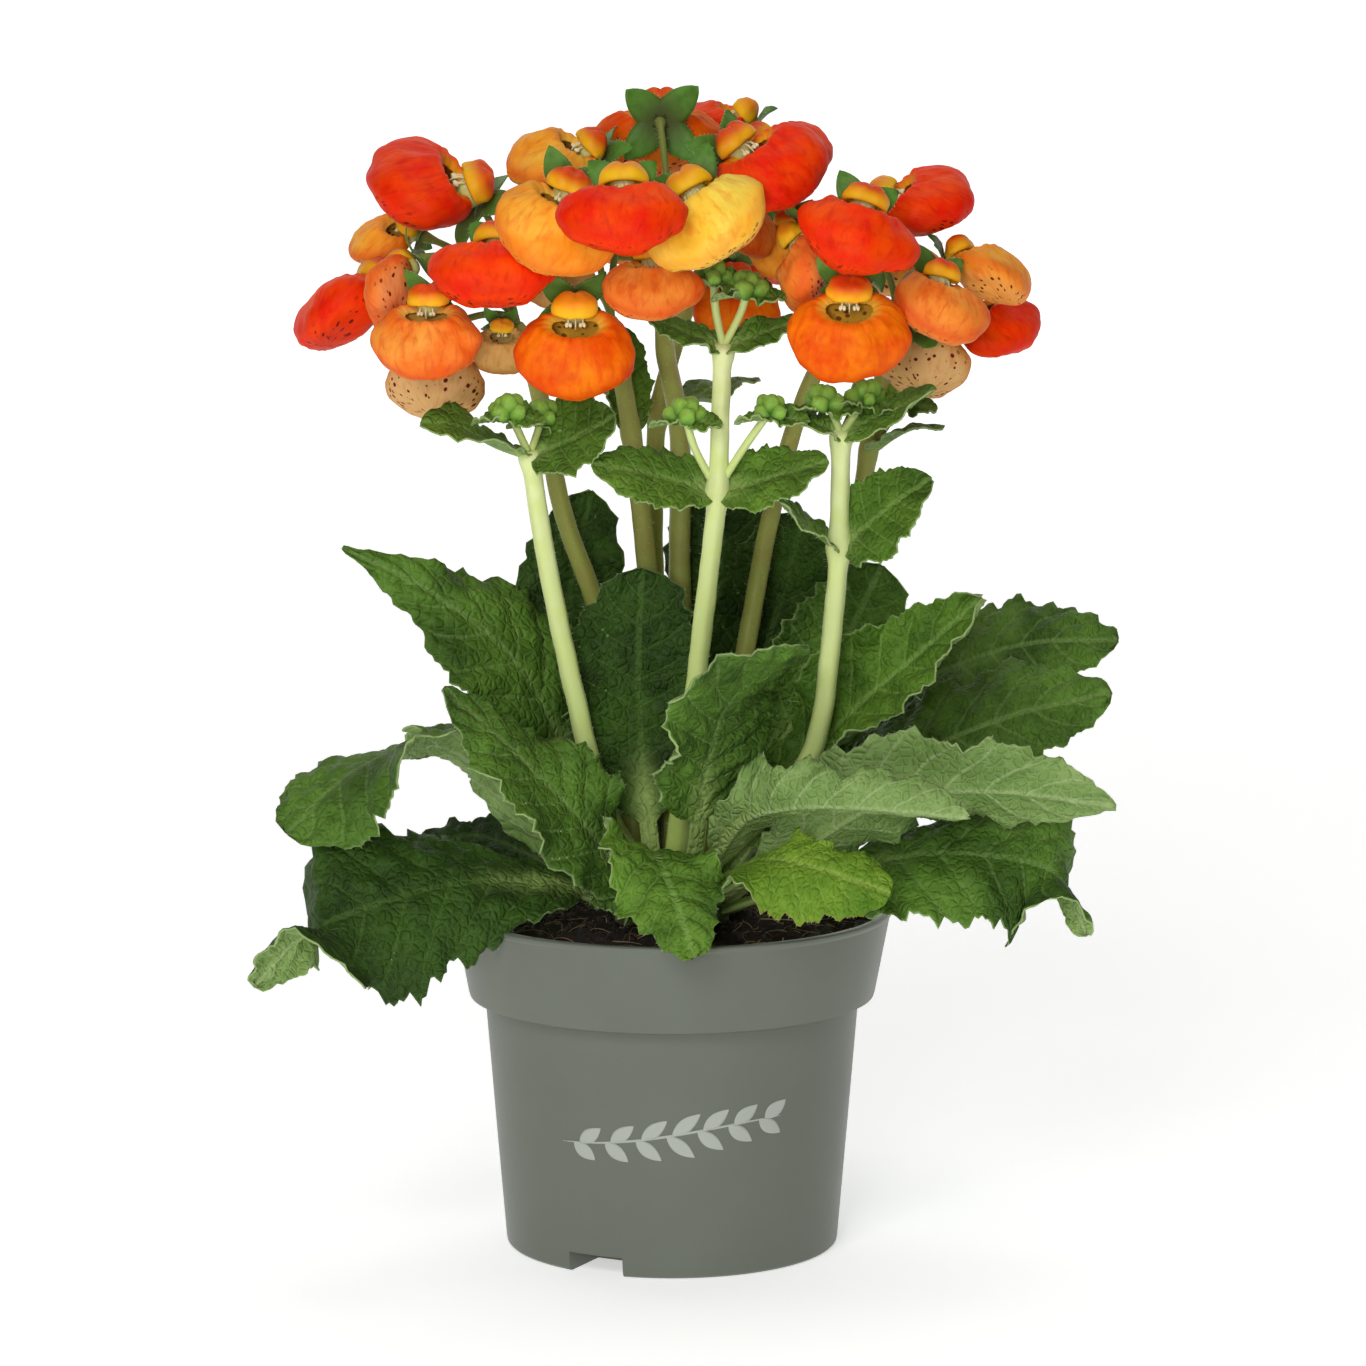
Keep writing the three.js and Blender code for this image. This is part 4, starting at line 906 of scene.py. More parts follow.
@dataclass(frozen=True)
class Crown:
    """The root stub with the leaves that are one with it, low in the rosette and upright in the stems."""

    hole: float = 12.0  # radius of the stub in the peat
    depth: float = 70.3
    shoulder: float = 15.5
    top: float = 98.0
    # Most crown leaves take the darker shaded finishes: painted shade for the crowded heart of the plant.
    leaves: tuple[Leaf, ...] = (
        Leaf(
            ((-8, -10, 92), (-14, -21, 98), (-17, -28, 101), (-20, -34, 99)),
            6, (-10, -20), (-0.3, -0.4), seed=31, rows=60, columns=20,
        ),
        crown_leaf(
            ((-12, 0, 90), (-36, 3, 105), (-55, 7, 111), (-72, 10, 105)),
            18, 32, Face.SHADED, (-15, -25), (-0.3, -0.5),
        ),
        crown_leaf(
            ((-10, -8, 93), (-19, -34, 116), (-38, -43, 139), (-60, -41, 159)),
            14, 33, Face.LIT, (-60, -70, -60), (0.3, -0.2), petiole=0.12, form=(1.3, 1.2, 0.9),
        ),
        upright(
            ((-4, -12, 92), (-5.5, -15.5, 110), (-8, -9.5, 135), (-9, -8, 160), (-8, -7, 186)),
            21, 34, petiole=0.35,
        ),
        upright(((5, 11, 91), (7, 16.5, 101), (12, 25, 130), (13, 28, 175), (14, 26, 207)), 20, 35),
        upright(((6, 11, 92), (9, 18, 103), (18, 25.5, 135), (29, 27, 170), (36, 25, 197)), 18, 36),
        upright(((13.2, 3, 94), (26, 8.5, 128), (44, 12, 158), (57, 13, 184)), 18, 37, face=Face.LIT),
        upright(((-10, 8, 93), (-19, 14, 115), (-25, 19, 138), (-28, 20, 172), (-22, 17, 204)), 18, 38),
        crown_leaf(
            ((0, 12, 92), (3, 42, 120), (4, 74, 127), (4, 100, 112)),
            24, 39, Face.SHADED, (0, 0), (0.1, -0.5),
        ),
    )

    def build(self) -> bpy.types.Object:
        """Makes the stub as a turned profile roughened by petiole scars, and its leaves.

        Returns:
            The one object that stands for the crown.
        """
        skin = Skin(*LEAF_MARKS, "shade")
        hole, shoulder = self.hole, self.shoulder
        profile = np.array([
            (0.6, self.depth), (hole, self.depth), (hole, 80), (hole, 88.3), (shoulder, 88.9), (shoulder, 92),
            (shoulder - 0.4, 95), (shoulder - 1.4, 97.4), (9, self.top), (0.6, self.top),
        ])
        turn = circle(72)
        ring = np.stack([np.cos(turn), np.sin(turn), 0 * turn], -1)
        scars = 0.35 * np.sin(9 * turn)[None] * ease(profile[:, 1], 89, 94)[:, None]
        body = turned(profile, 72) - scars[..., None] * ring
        shade = ease(profile[:, 1], 86, 98)[:, None]
        finishes = [LEAF_TOP, LEAF_UNDER, LEAF_SHADE, LEAF_UNDER_SHADED, CROWN_SKIN, DOWN]
        skin.closed(body[:, ::-1], finishes.index(CROWN_SKIN), shade=shade, stalk=1.0)
        for leaf in self.leaves:
            slots = tuple(finishes.index(finish) for finish in leaf.face.value)
            leaf.build(skin, slots, finishes.index(DOWN))
        return skin.make("crown_rosette", *(finish.material() for finish in finishes))


CROWN_SKIN = Flesh("crown_skin", "#4a4a22", "#7f9a4c", "#33401c", 0.5, 3.0, 0.6)


# ---- flowers ----
class Tone(Enum):
    """The colour strains of the pouches."""

    RED = Petal("petal_red", "#f42402", "#ff5404", "#cc0e02", "#dc3404", "#f0a020")
    ORANGE = Petal("petal_orange", "#e65002", "#fa880c", "#d83202", "#e47414", "#f4b83c", flush=0.75)
    AMBER = Petal("petal_amber", "#f6921c", "#ffbe42", "#e05214", "#eca04c", "#f4bc48", flush=0.9)
    YELLOW = Petal("petal_yellow", "#ffcc38", "#ffe660", "#f08020", "#f4bc5c", "#f8cc4c", flush=0.8)
    SALMON = Petal("petal_salmon", "#f26c18", "#ffa844", "#d63814", "#e28a50", "#f4b850", flush=0.9)
    CREAM = Petal("petal_cream", "#cf9a50", "#e8bc72", "#c8702c", "#dcae72", "#e4bc6c", flush=0.7)


HOOD_RED = Flesh("hood_flushed", "#f8bb1c", "#dd2c06", "#ee7c10", 0.4, 3.0, 0.5, 0.0)
HOOD_YELLOW = Flesh("hood_yellow", "#fbc81c", "#f28a14", "#f5a81a", 0.35, 3.0, 0.5, 0.0)
NECK = Flesh("throat_wall", "#cfd07c", "#e6e2a4", "#b9a04a", 0.3, 2.0, 0.5, 0.0)
POLLEN = Flesh("anther", "#f0e2a6", "#fbf2cc", "#c9a860", 0.3, 1.0, 0.6, 0.0)


@dataclass(frozen=True)
class Pouch:
    """The sizes that every pouch flower shares, before each is scaled."""

    half_width: float = 17.0
    half_length: float = 13.5
    above: float = 7.0
    below: float = 9.0
    centre: float = 14.0  # from the corolla's root to the pouch's middle
    throat: float = 55.0  # degrees that the opening lies back from straight up
    opening: float = 0.36  # radians from the opening's middle to its rim
    wall: float = 0.45
    around: int = 60
    rings: int = 34
    inner: int = 14

    def point(self, polar: Array, around: Array) -> Array:
        """The pouch's outside: a unit ball with its pole at the throat, flattened, notched, toed and dimpled.

        Args:
            polar: Angles from the throat.
            around: Angles about it.

        Returns:
            Places, in the flower's own frame: x to its side, y forwards and z up.
        """
        tilt = math.radians(self.throat)
        y, z = np.cos(polar), np.sin(around) * np.sin(polar)
        a = -np.cos(around) * np.sin(polar)
        b, c = -y * math.cos(tilt) - z * math.sin(tilt), y * math.sin(tilt) - z * math.cos(tilt)
        back, front = np.maximum(0, -b), np.maximum(0, b)
        notch = 3.5 * back * np.exp(-((a / 0.42) ** 2))
        dimple = 3 * ease(c, -0.05, 0.25) * np.exp(-((a / 0.32) ** 2) - ((b + 0.45) / 0.3) ** 2)
        height = np.where(c > 0, self.above, self.below)
        return np.stack([
            self.half_width * a * (1 - 0.12 * back),
            self.centre + self.half_length * b + notch,
            height * c * (1 - 0.25 * back) - 2.5 * front**2 - dimple,
        ], -1)

    def marks(self, theta: Array, phi: Array) -> dict[str, Array]:
        """Where the outside is flushed, shaded, pale at the throat and spotted, by angle and by height."""
        flat = self.point(theta, phi)
        ahead = np.maximum(0, (flat[..., 1] - self.centre) / self.half_length)
        height = np.clip((flat[..., 2] + 2.5 * ahead**2) / self.below, -1, 1)
        equator = np.exp(-((height / 0.32) ** 2))
        return {
            "rim": np.clip(0.9 * equator + 0.5 * np.exp(-((theta - self.opening) / 0.12) ** 2), 0, 1),
            "under": ease(-height, 0.1, 0.6),
            "throat": 1 - ease(theta, self.opening + 0.02, self.opening + 0.26),
            "spots": np.clip(ease(-height, 0.0, 0.45) * ease(theta, 0.5, 0.9), 0, 1),
        }


POUCH = Pouch()
PETAL_SLOT, HOOD_SLOT, NECK_SLOT, POLLEN_SLOT = range(4)  # places in the list of a flower's finishes
HOOD_CENTRE, HOOD_RADII = np.array([0, 3.2, 4.8]), np.array([6.4, 5.2, 5.5])
NECK_CENTRE, NECK_RADII = [0, 3.4, 1.9], [3.7, 3.6, 4.0]
CALYX_AHEAD = 0.2  # from the corolla's root forward to the calyx's middle
CALYX_TILT = math.radians(25)


@dataclass(frozen=True)
class Bloom:
    """One pouch flower: the inflated lower lip, the small hood over its throat, and the stamens between."""

    centre: Triple
    turn: float  # degrees from the front towards +X
    droop: float  # degrees below the horizontal
    roll: float
    size: float
    tone: Tone
    seed: int = 0

    def axes(self) -> tuple[Array, Array]:
        """The flower's scaled axes as columns (side, forward, up), and the place of its root."""
        turn, droop, roll = np.radians([self.turn, self.droop, self.roll])
        level, fall = math.cos(droop), math.sin(droop)
        forward = np.array([math.sin(turn) * level, -math.cos(turn) * level, -fall])
        upright = np.array([math.sin(turn) * fall, -math.cos(turn) * fall, level])
        up = math.cos(roll) * upright + math.sin(roll) * np.cross(forward, upright)
        frame = np.stack([np.cross(forward, up), forward, up], 1) * self.size
        return frame, np.array(self.centre) - frame @ np.array([0, POUCH.centre, -1])

    def place(self, points: Array) -> Array:
        """Carries places from the flower's own frame into the plant's."""
        frame, root = self.axes()
        return points @ frame.T + root

    def build(self, name: str) -> bpy.types.Object:
        """Makes the flower.

        Args:
            name: The object's name.

        Returns:
            The object: pouch, hood, throat wall and stamens.
        """
        skin = Skin("rim", "under", "throat", "spots", "shade")
        self._pouch(skin)
        self._hood(skin)
        self._stamens(skin)
        hood = HOOD_YELLOW if self.seed % 3 == 0 or self.tone in (Tone.YELLOW, Tone.CREAM) else HOOD_RED
        finishes = (self.tone.value, hood, NECK, POLLEN)
        return skin.make(name, *(finish.material() for finish in finishes))

    def _pouch(self, skin: Skin) -> None:
        """Adds the lower lip: the pouch's outside, a rim rolled into the throat, and the inside of its wall.

        The outside is moved along its normal by soft dents, by pleats that fade away from the throat and
        by a finer crepe. The inside is the outside's rings again, one wall thickness in.
        """
        p = POUCH
        bag, lip = np.linspace(math.pi - 0.05, 0.8, p.rings - 12), np.linspace(0.76, p.opening, 12)
        polar = np.concatenate([bag, lip])
        theta, phi = np.meshgrid(polar, circle(p.around), indexing="ij")
        wide = 1 + 0.12 * np.cos(phi) ** 2 * np.exp(-((theta - p.opening) / 0.3) ** 2)
        body = p.point(theta * np.where(theta < 1, wide, 1), phi)
        closed = np.concatenate([body, body[:, :1]], 1)
        normal = grid_normals(closed)[:, :-1]
        normal = normal * np.sign((normal * (body - [0, p.centre, 0])).sum(-1).mean())
        seeded = body + self.seed * 31.0
        dents = 0.75 * ripple(seeded, 15, self.seed) + 0.3 * ripple(seeded, 6, self.seed + 90)
        near = np.exp(-((theta - p.opening) / 0.45) ** 2)
        crease = np.cos(17 * phi + 2.5 * ripple(seeded, 9, self.seed + 40))
        pleats = 0.16 * crease * (near + 0.25) * np.minimum(1, np.sin(theta) * 2)
        fold = -1.0 * np.exp(-((theta - p.opening) / 0.1) ** 2)
        swell = 0.7 * np.exp(-((theta - p.opening - 0.3) / 0.16) ** 2)
        body = body + ((dents + pleats) * ease(theta, 0.3, 0.8) + pleats + fold + swell)[..., None] * normal
        marks = p.marks(theta, phi)
        across = np.linspace(0, TAU, p.around + 1)[None] * p.half_width * 0.62
        down = polar[:, None] * p.half_length * 1.1
        chart = np.stack(np.broadcast_arrays(across, down), -1) + 53.0 * self.seed
        inner = np.linspace(p.rings - 1, 1, p.inner).astype(int)
        inside = body[inner] - p.wall * normal[inner]
        points = np.concatenate([body, inside])
        charts = np.concatenate([chart, chart[inner]])
        dark = {"throat": np.ones(inside.shape[:2]), "spots": np.full(inside.shape[:2], 0.8)}
        full = {k: np.concatenate([v, dark.get(k, v[inner])]) for k, v in marks.items()}
        steps = np.cross(np.gradient(body, axis=0), np.gradient(closed, axis=1)[:, :-1])
        if (steps * normal).sum(-1).mean() < 0:
            points, charts = points[:, ::-1], charts[:, ::-1]
            full = {k: v[:, ::-1] for k, v in full.items()}
        skin.closed(self.place(points), PETAL_SLOT, charts, **full)

    def _hood(self, skin: Skin) -> None:
        """Adds the hood: a thin two-lobed cap, open forwards and down, with its edge turned in."""
        pole = unit(np.array([0, -0.62, 0.78]))
        side = np.array([1.0, 0, 0])
        front = np.cross(pole, side)
        turn = circle(34)[None, :, None]
        opening = 1.78
        polar = np.concatenate([np.linspace(0.06, opening, 18), [opening + 0.06, opening + 0.12]])
        inner = polar[17::-3]
        every = np.concatenate([polar, inner])[:, None, None]
        shrink = np.concatenate([np.ones(18), [0.93, 0.86], np.full(len(inner), 0.86)])[:, None, None]
        dome = np.cos(every) * pole + np.sin(every) * (np.cos(turn) * side + np.sin(turn) * front)
        lobes = 1 - 0.1 * np.exp(-((dome[..., :1] / 0.16) ** 2)) + 0.05 * np.cos(2 * turn)
        wave = 1 + 0.05 * ripple(dome * 5 + self.seed, 4, self.seed + 5)[..., None]
        cap = HOOD_CENTRE + [0, 0.2, -0.2] + HOOD_RADII * 0.96 * dome * lobes * wave * shrink
        shade = np.broadcast_to((1 - ease(every[..., 0], 0.75, 1.65)) * 0.95, cap.shape[:2])
        skin.closed(self.place(cap), HOOD_SLOT, shade=shade)
        rows = np.linspace(0.08, math.pi - 0.08, 12)[:, None]
        neck = ball(rows, circle(24)[None]) * NECK_RADII + NECK_CENTRE
        skin.closed(self.place(neck), NECK_SLOT, shade=np.cos(rows))

    def _stamens(self, skin: Skin) -> None:
        """Adds two stamens with paired anthers that lean out of the throat wall, and the style between."""
        for way in (-1, 1):
            corners = [(0.9, 3.2, 3.4), (1.6, 5.4, 4.9), (2.2, 6.8, 4.6), (2.0, 7.8, 3.6)]
            path = bezier([(way * x, y, z) for x, y, z in corners], 8)
            skin.closed(self.place(tube(path, np.full(8, 0.32), 6)), POLLEN_SLOT, shade=0.2)
            lobe = ball(np.linspace(0.15, math.pi - 0.15, 6)[:, None], circle(8)[None])
            for shift in (-0.5, 0.5):
                anther = lobe * [0.55, 0.85, 0.55] + [way * 1.9 + shift, 7.9, 3.5]
                skin.closed(self.place(anther), POLLEN_SLOT, shade=0.8)
        style = bezier([(0, 3.0, 3.6), (0, 6.0, 6.0), (0, 8.6, 4.6), (0, 9.2, 2.4)], 10)
        rod = tube(style, np.linspace(0.3, 0.18, 10), 6)
        skin.closed(self.place(rod), POLLEN_SLOT, shade=0.5)

    def calyx(self) -> tuple[Array, Array]:
        """Where the flower stalk ends, just behind the corolla, and the way that it looks there."""
        frame, root = self.axes()
        look = unit(frame @ np.array([0, math.cos(CALYX_TILT), math.sin(CALYX_TILT)]))
        return root + frame @ np.array([0, CALYX_AHEAD, 0]) - 0.35 * look, look

    def sepals(self, skin: Skin, slot: int, hair_slot: int) -> None:
        """Adds four broad pointed sepals in a cross, joined at their roots and bent back at their tips.

        Each is 12.5 mm long. Its half-width follows s^0.6 (1-s)^0.85 along it,
        and it lies on the bowl z = -0.35 - 0.014 r^2, a little dished along its middle.

        Args:
            skin: What the sepals are added to.
            slot: Number of their finish.
            hair_slot: Number of the hairs' finish.
        """
        s, t = np.linspace(0, 1, 13)[:, None], np.linspace(-1, 1, 7)[None, :]
        half = 10.2 * s**0.6 * (1 - s) ** 0.85 + 1.5 * (1 - s) * ease(1 - s, 0.5, 1.0) + 0.12
        tilt = CALYX_TILT - math.pi / 2
        cosine, sine = math.cos(tilt), math.sin(tilt)
        spin = np.array([[1, 0, 0], [0, cosine, -sine], [0, sine, cosine]])
        for quarter in range(4):
            angle = math.radians(45 + 90 * quarter)
            out = np.array([math.cos(angle), math.sin(angle)])
            over = np.array([-out[1], out[0]])
            length = 12.5 * (1 + 0.06 * math.sin(self.seed * 3.7 + quarter * 2.1))
            plane = (s * length)[..., None] * out + (t * half)[..., None] * over
            radius = np.linalg.norm(plane, axis=-1)
            dish = 0.5 * t * t * np.sin(math.pi * s) + 0.15 * np.cos(6 * t) * s
            height = -0.35 - 0.014 * radius**2 + dish - 0.9 * ease(s, 0.7, 1.0) ** 2
            middle = np.concatenate([plane, height[..., None]], -1)
            thick = (0.3 * (1 - 0.6 * s))[..., None] * [0, 0, 1.0]
            faces = [self.place((middle + way * thick) @ spin.T + [0, CALYX_AHEAD, 0]) for way in (1, -1)]
            skin.slab(faces[0], faces[1], (slot, slot), None, shade=1 - ease(s, 0.0, 0.75) + 0 * t)
            rng = np.random.default_rng(self.seed * 4 + quarter)
            row, column = rng.integers(3, 12, 30), rng.choice([0, 6], 30)
            edge = faces[0][row, column]
            ways = unit(edge - faces[0][row, 3])
            hairs(skin, edge, ways, 0.7, HAIR, hair_slot, self.seed * 9 + quarter)


def flowers(*rows: tuple) -> tuple[Bloom, ...]:
    """Makes flowers of rows of centre, turn, droop, roll, size, tone and number."""
    return tuple(Bloom(*row) for row in rows)


BLOOMS: dict[str, tuple[Bloom, ...]] = {
    "left": flowers(
        ((-66, -5, 288), -72, -22, -25, 1.14, Tone.RED, 1),
        ((-87, -6, 255), -66, 15, 20, 1.06, Tone.RED, 2),
        ((-77, 16, 272), -110, 5, -20, 0.75, Tone.AMBER, 3),
        ((-64, -42, 251), -10, 45, 0, 0.86, Tone.SALMON, 4),
        ((-72, -27, 261), -60, 50, 60, 0.78, Tone.SALMON, 5),
        ((-63, -16, 237), 170, 60, 0, 0.8, Tone.CREAM, 6),
        ((-45, -18, 246), 10, 70, 0, 0.5, Tone.CREAM, 7),
        ((-46, -48, 269), -5, 12, 0, 1.0, Tone.RED, 8),
    ),
    "mid_left": flowers(
        ((-25, -46, 248), 5, 62, 0, 0.95, Tone.ORANGE, 9),
        ((-30, -56, 281), -15, 40, -28, 0.98, Tone.AMBER, 10),
        ((-31, -15, 295), -75, 0, -18, 0.9, Tone.AMBER, 11),
        ((-5, -50, 265), 0, 30, 0, 0.78, Tone.SALMON, 14),
        ((-31, -20, 265.5), -10, 60, 0, 0.62, Tone.CREAM, 15),
    ),
    "centre": flowers(
        ((-12, -78, 286), 0, 15, 2, 1.0, Tone.RED, 12),
        ((9, -62, 283), 10, 25, 35, 1.0, Tone.YELLOW, 13),
        ((26, -40, 295), 50, 10, 28, 1.0, Tone.RED, 16),
        ((31.5, -10, 297), 70, 0, 20, 0.8, Tone.RED, 17),
        ((11, 30, 302), -100, -5, 0, 0.8, Tone.RED, 18),
        ((-3, 8, 299), 180, 20, 0, 1.08, Tone.ORANGE, 19),
        ((20, -22, 278), 60, 50, 0, 0.6, Tone.SALMON, 20),
        ((17, 5, 254.5), 20, 60, 0, 0.75, Tone.ORANGE, 29),
    ),
    "right": flowers(
        ((35, -34, 267.5), -30, 75, 60, 0.85, Tone.SALMON, 21),
        ((47.5, -60, 279.5), -5, 20, -20, 0.95, Tone.RED, 22),
        ((46, -50, 253), 0, 68, 0, 0.95, Tone.ORANGE, 23),
        ((30.5, -11, 271.5), -20, 50, 0, 0.65, Tone.AMBER, 31),
    ),
    "far_right": flowers(
        ((67.5, -4, 283.5), 70, -15, 20, 0.94, Tone.RED, 24),
        ((84, -13, 265), 75, 10, -18, 0.86, Tone.AMBER, 25),
        ((70, -40, 259), 10, 30, -20, 0.82, Tone.SALMON, 26),
        ((87, 1, 250), 60, 10, 20, 0.8, Tone.RED, 27),
        ((67, -7, 241.5), 160, 60, 0, 0.76, Tone.CREAM, 28),
    ),
    "back": flowers(
        ((-48, 38, 262), -150, 20, 0, 0.9, Tone.RED, 30),
        ((-12, 62, 270), 175, 15, 0, 0.95, Tone.ORANGE, 32),
        ((28, 54, 266), 160, 20, 0, 0.95, Tone.RED, 33),
        ((62, 34, 262), 130, 15, 0, 0.9, Tone.AMBER, 34),
    ),
}


# ---- shoots ----
STEM_PALE = Flesh("stem_pale", "#a3c048", "#e2ebac", "#cbdc7c", 0.5, 6.0, 0.42, 0.05)
STEM_OLIVE = Flesh("stem_olive", "#6c7c30", "#a3a656", "#8a7440", 0.35, 6.0, 0.45, 0.03)
SEPAL = Flesh("sepal_green", "#5c8c34", "#46401c", "#3a5a1c", 0.45, 2.5, 0.5, 0.04)
BUD_SKIN = Flesh("bud_green", "#3c6c1c", "#8cb84a", "#54862a", 0.4, 2.0, 0.45, 0.04)
# Places in the list of a shoot's finishes.
STEM_SLOT, LEAF_SLOTS, SEPAL_SLOT, BUD_SLOT, DOWN_SLOT = 0, (1, 2), 3, 4, 5


def sprig(
    path: tuple[Triple, ...], width: float, roll: Pair, cup: Pair, seed: int, grid: tuple[int, int] = (56, 24)
) -> Leaf:
    """A small stalkless leaf of the upper stem, from its midrib, half-width, roll, cup and grid of faces."""
    return Leaf(
        path, 1.25 * width, roll, cup, Face.FRESH, petiole=0.02, waves=1, ruffle=1.6, curl=1.0,
        laterals=6, teeth=6, quilt=0.7, rows=grid[0], columns=grid[1], root=1.6, seed=seed, fringe=90,
    )


def sprigs(*rows: tuple) -> tuple[Leaf, ...]:
    """Makes upper leaves of rows of midrib, half-width, roll, cup and number."""
    return tuple(sprig(*row) for row in rows)


@dataclass(frozen=True)
class Shoot:
    """A flowering stem with its small leaves, bud clusters, flower stalks and calyces."""

    name: str
    stem: tuple[Triple, ...]
    radius: Pair  # at its foot and its top
    leaves: tuple[Leaf, ...] = ()
    buds: tuple[tuple[Triple, ...], ...] = ()
    pale: bool = False
    root_height: float = 5.0
    stalk: float = 0.95
    calyx_stalk: float = 1.8
    bud: float = 2.6
    bud_spread: float = 2.2

    def build(self) -> bpy.types.Object:
        """Makes the shoot with everything that is one with it."""
        skin = Skin(*LEAF_MARKS, "shade")
        finishes = [STEM_PALE if self.pale else STEM_OLIVE, LEAF_FRESH, LEAF_UNDER, SEPAL, BUD_SKIN, DOWN]
        seed = sum(map(ord, self.name))
        foot = np.array(self.stem[0], float)
        knots = (self.stem[0], tuple(foot + [0, 0, self.root_height]), *self.stem[1:])
        path = Spine(knots).evenly(90)
        way = unit(path[-1] - np.array(knots[-2]))
        self._stem(skin, path, seed)
        for leaf in self.leaves:
            leaf.build(skin, LEAF_SLOTS, DOWN_SLOT)
        for number, points in enumerate(self.buds):
            self._cluster(skin, points, seed + 10 * number)
        start = path[-1] - 1.5 * way
        for flower in BLOOMS.get(self.name, ()):
            seat, look = flower.calyx()
            span = np.linalg.norm(seat - start)
            bent = bezier([start, start + 0.4 * span * way, seat - 0.28 * span * look, seat], 24)
            share = np.linspace(0, 1, 24)
            radii = self.stalk + (self.calyx_stalk - self.stalk) * ease(share, 0.86, 1.0)
            skin.closed(tube(bent, radii, 10), STEM_SLOT, shade=0.25 * share[:, None])
            self._down(skin, bent[2:-1], radii[2:-1], 90, flower.seed)
            flower.sepals(skin, SEPAL_SLOT, DOWN_SLOT)
        return skin.make(f"stem_{self.name}", *(finish.material() for finish in finishes))

    def _stem(self, skin: Skin, path: Array, seed: int) -> None:
        """Adds the main stem: a ridged tube that tapers, swells at its leaf joints and ends in a knob."""
        share = np.linspace(0, 1, len(path))
        radii = self.radius[0] + (self.radius[1] - self.radius[0]) * share
        for leaf in self.leaves:
            far = np.linalg.norm(path - np.array(leaf.path[0]), axis=1)
            radii = radii + 0.45 * np.exp(-((far / 3.5) ** 2))
        radii = radii * np.sqrt(np.clip(1 - ease(share, 0.985, 1.0) * 0.6, 0, 1))
        turn = circle(20)
        ridges = 1 + 0.035 * np.cos(5 * turn) + 0.02 * np.cos(9 * turn + 1)
        rings = tube(path, radii[:, None] * ridges, 20)
        rings = rings + 0.12 * ripple(rings, 7, seed)[..., None] * (rings - path[:, None]) / self.radius[0]
        skin.closed(rings, STEM_SLOT, shade=(0.15 + 0.85 * share)[:, None])
        self._down(skin, path[4:-2], radii[4:-2], 560, seed)

    def _down(self, skin: Skin, path: Array, radii: Array, count: int, seed: int) -> None:
        """Adds the down of a stem, square to it, at places picked at random."""
        rng = np.random.default_rng(seed)
        row = rng.integers(0, len(path), count)
        way = unit(np.gradient(path, axis=0))[row]
        out = unit(np.cross(way, rng.normal(size=(count, 3))))
        place = path[row] + way * rng.uniform(-1, 1, (count, 1))
        hairs(skin, place + 0.97 * radii[row, None] * out, out, 1.1, HAIR, DOWN_SLOT, seed + 3)

    def _cluster(self, skin: Skin, points: tuple[Triple, ...], seed: int) -> None:
        """Adds a bud cluster: its stalk, eight four-lobed buds in two whorls, and two bracts that cup them.

        A bud is a ball drawn out by a fifth, its radius 1 + 0.1 cos 4a at the angle a about its axis.
        """
        rng = np.random.default_rng(seed)
        path = Spine(points).evenly(16)
        skin.closed(tube(path, np.full(16, 1.05), 10), STEM_SLOT, shade=0.6)
        top = path[-1]
        rows, ring = np.linspace(0.1, math.pi - 0.1, 11)[:, None], circle(16)[None]
        lobes = (1 + 0.1 * np.cos(4 * ring) * np.sin(rows) + 0.12 * ease(np.cos(rows), 0.7, 1.0))[..., None]
        angles = TAU * (np.arange(8) / 4 + 0.12 * (np.arange(8) >= 4)) + rng.uniform(0, TAU)
        outs = np.stack([np.cos(angles), np.sin(angles), np.repeat([-0.15, 1.0], 4)], -1)
        outs = outs * np.repeat([1.25, 0.7], 4)[:, None]
        for way in (-1, 1):
            reach = np.array([way * 3.0, -1.0, -0.5])
            places = top + np.outer([0.2, 1.2, 2.2, 3.2], reach) + [0, 0, -1]
            bract = sprig(tuple(map(tuple, places)), 3.2, (way * 40, 30), (0.4, 0.3), seed, (30, 12))
            bract.build(skin, LEAF_SLOTS)
        for number, out in enumerate(outs):
            axis = unit(out + [0, 0, 0.7] + rng.normal(0, 0.2, 3))
            side = unit(np.cross(axis, [0.3, 0.9, 0.1]))
            frame = np.stack([side, np.cross(axis, side), axis])
            size = self.bud * rng.uniform(0.72, 1.05)
            bud = (ball(rows, ring) * lobes * [1, 1, 1.12] * size) @ frame + top + self.bud_spread * out
            skin.closed(bud, BUD_SLOT, shade=ease(np.cos(rows), -0.6, 0.9) + 0 * ring)
            roots = bud[rng.integers(2, 9, 24), rng.integers(0, 16, 24)]
            ways = unit(roots - top - self.bud_spread * out)
            hairs(skin, roots, ways, 0.6, 0.03, DOWN_SLOT, seed + number)


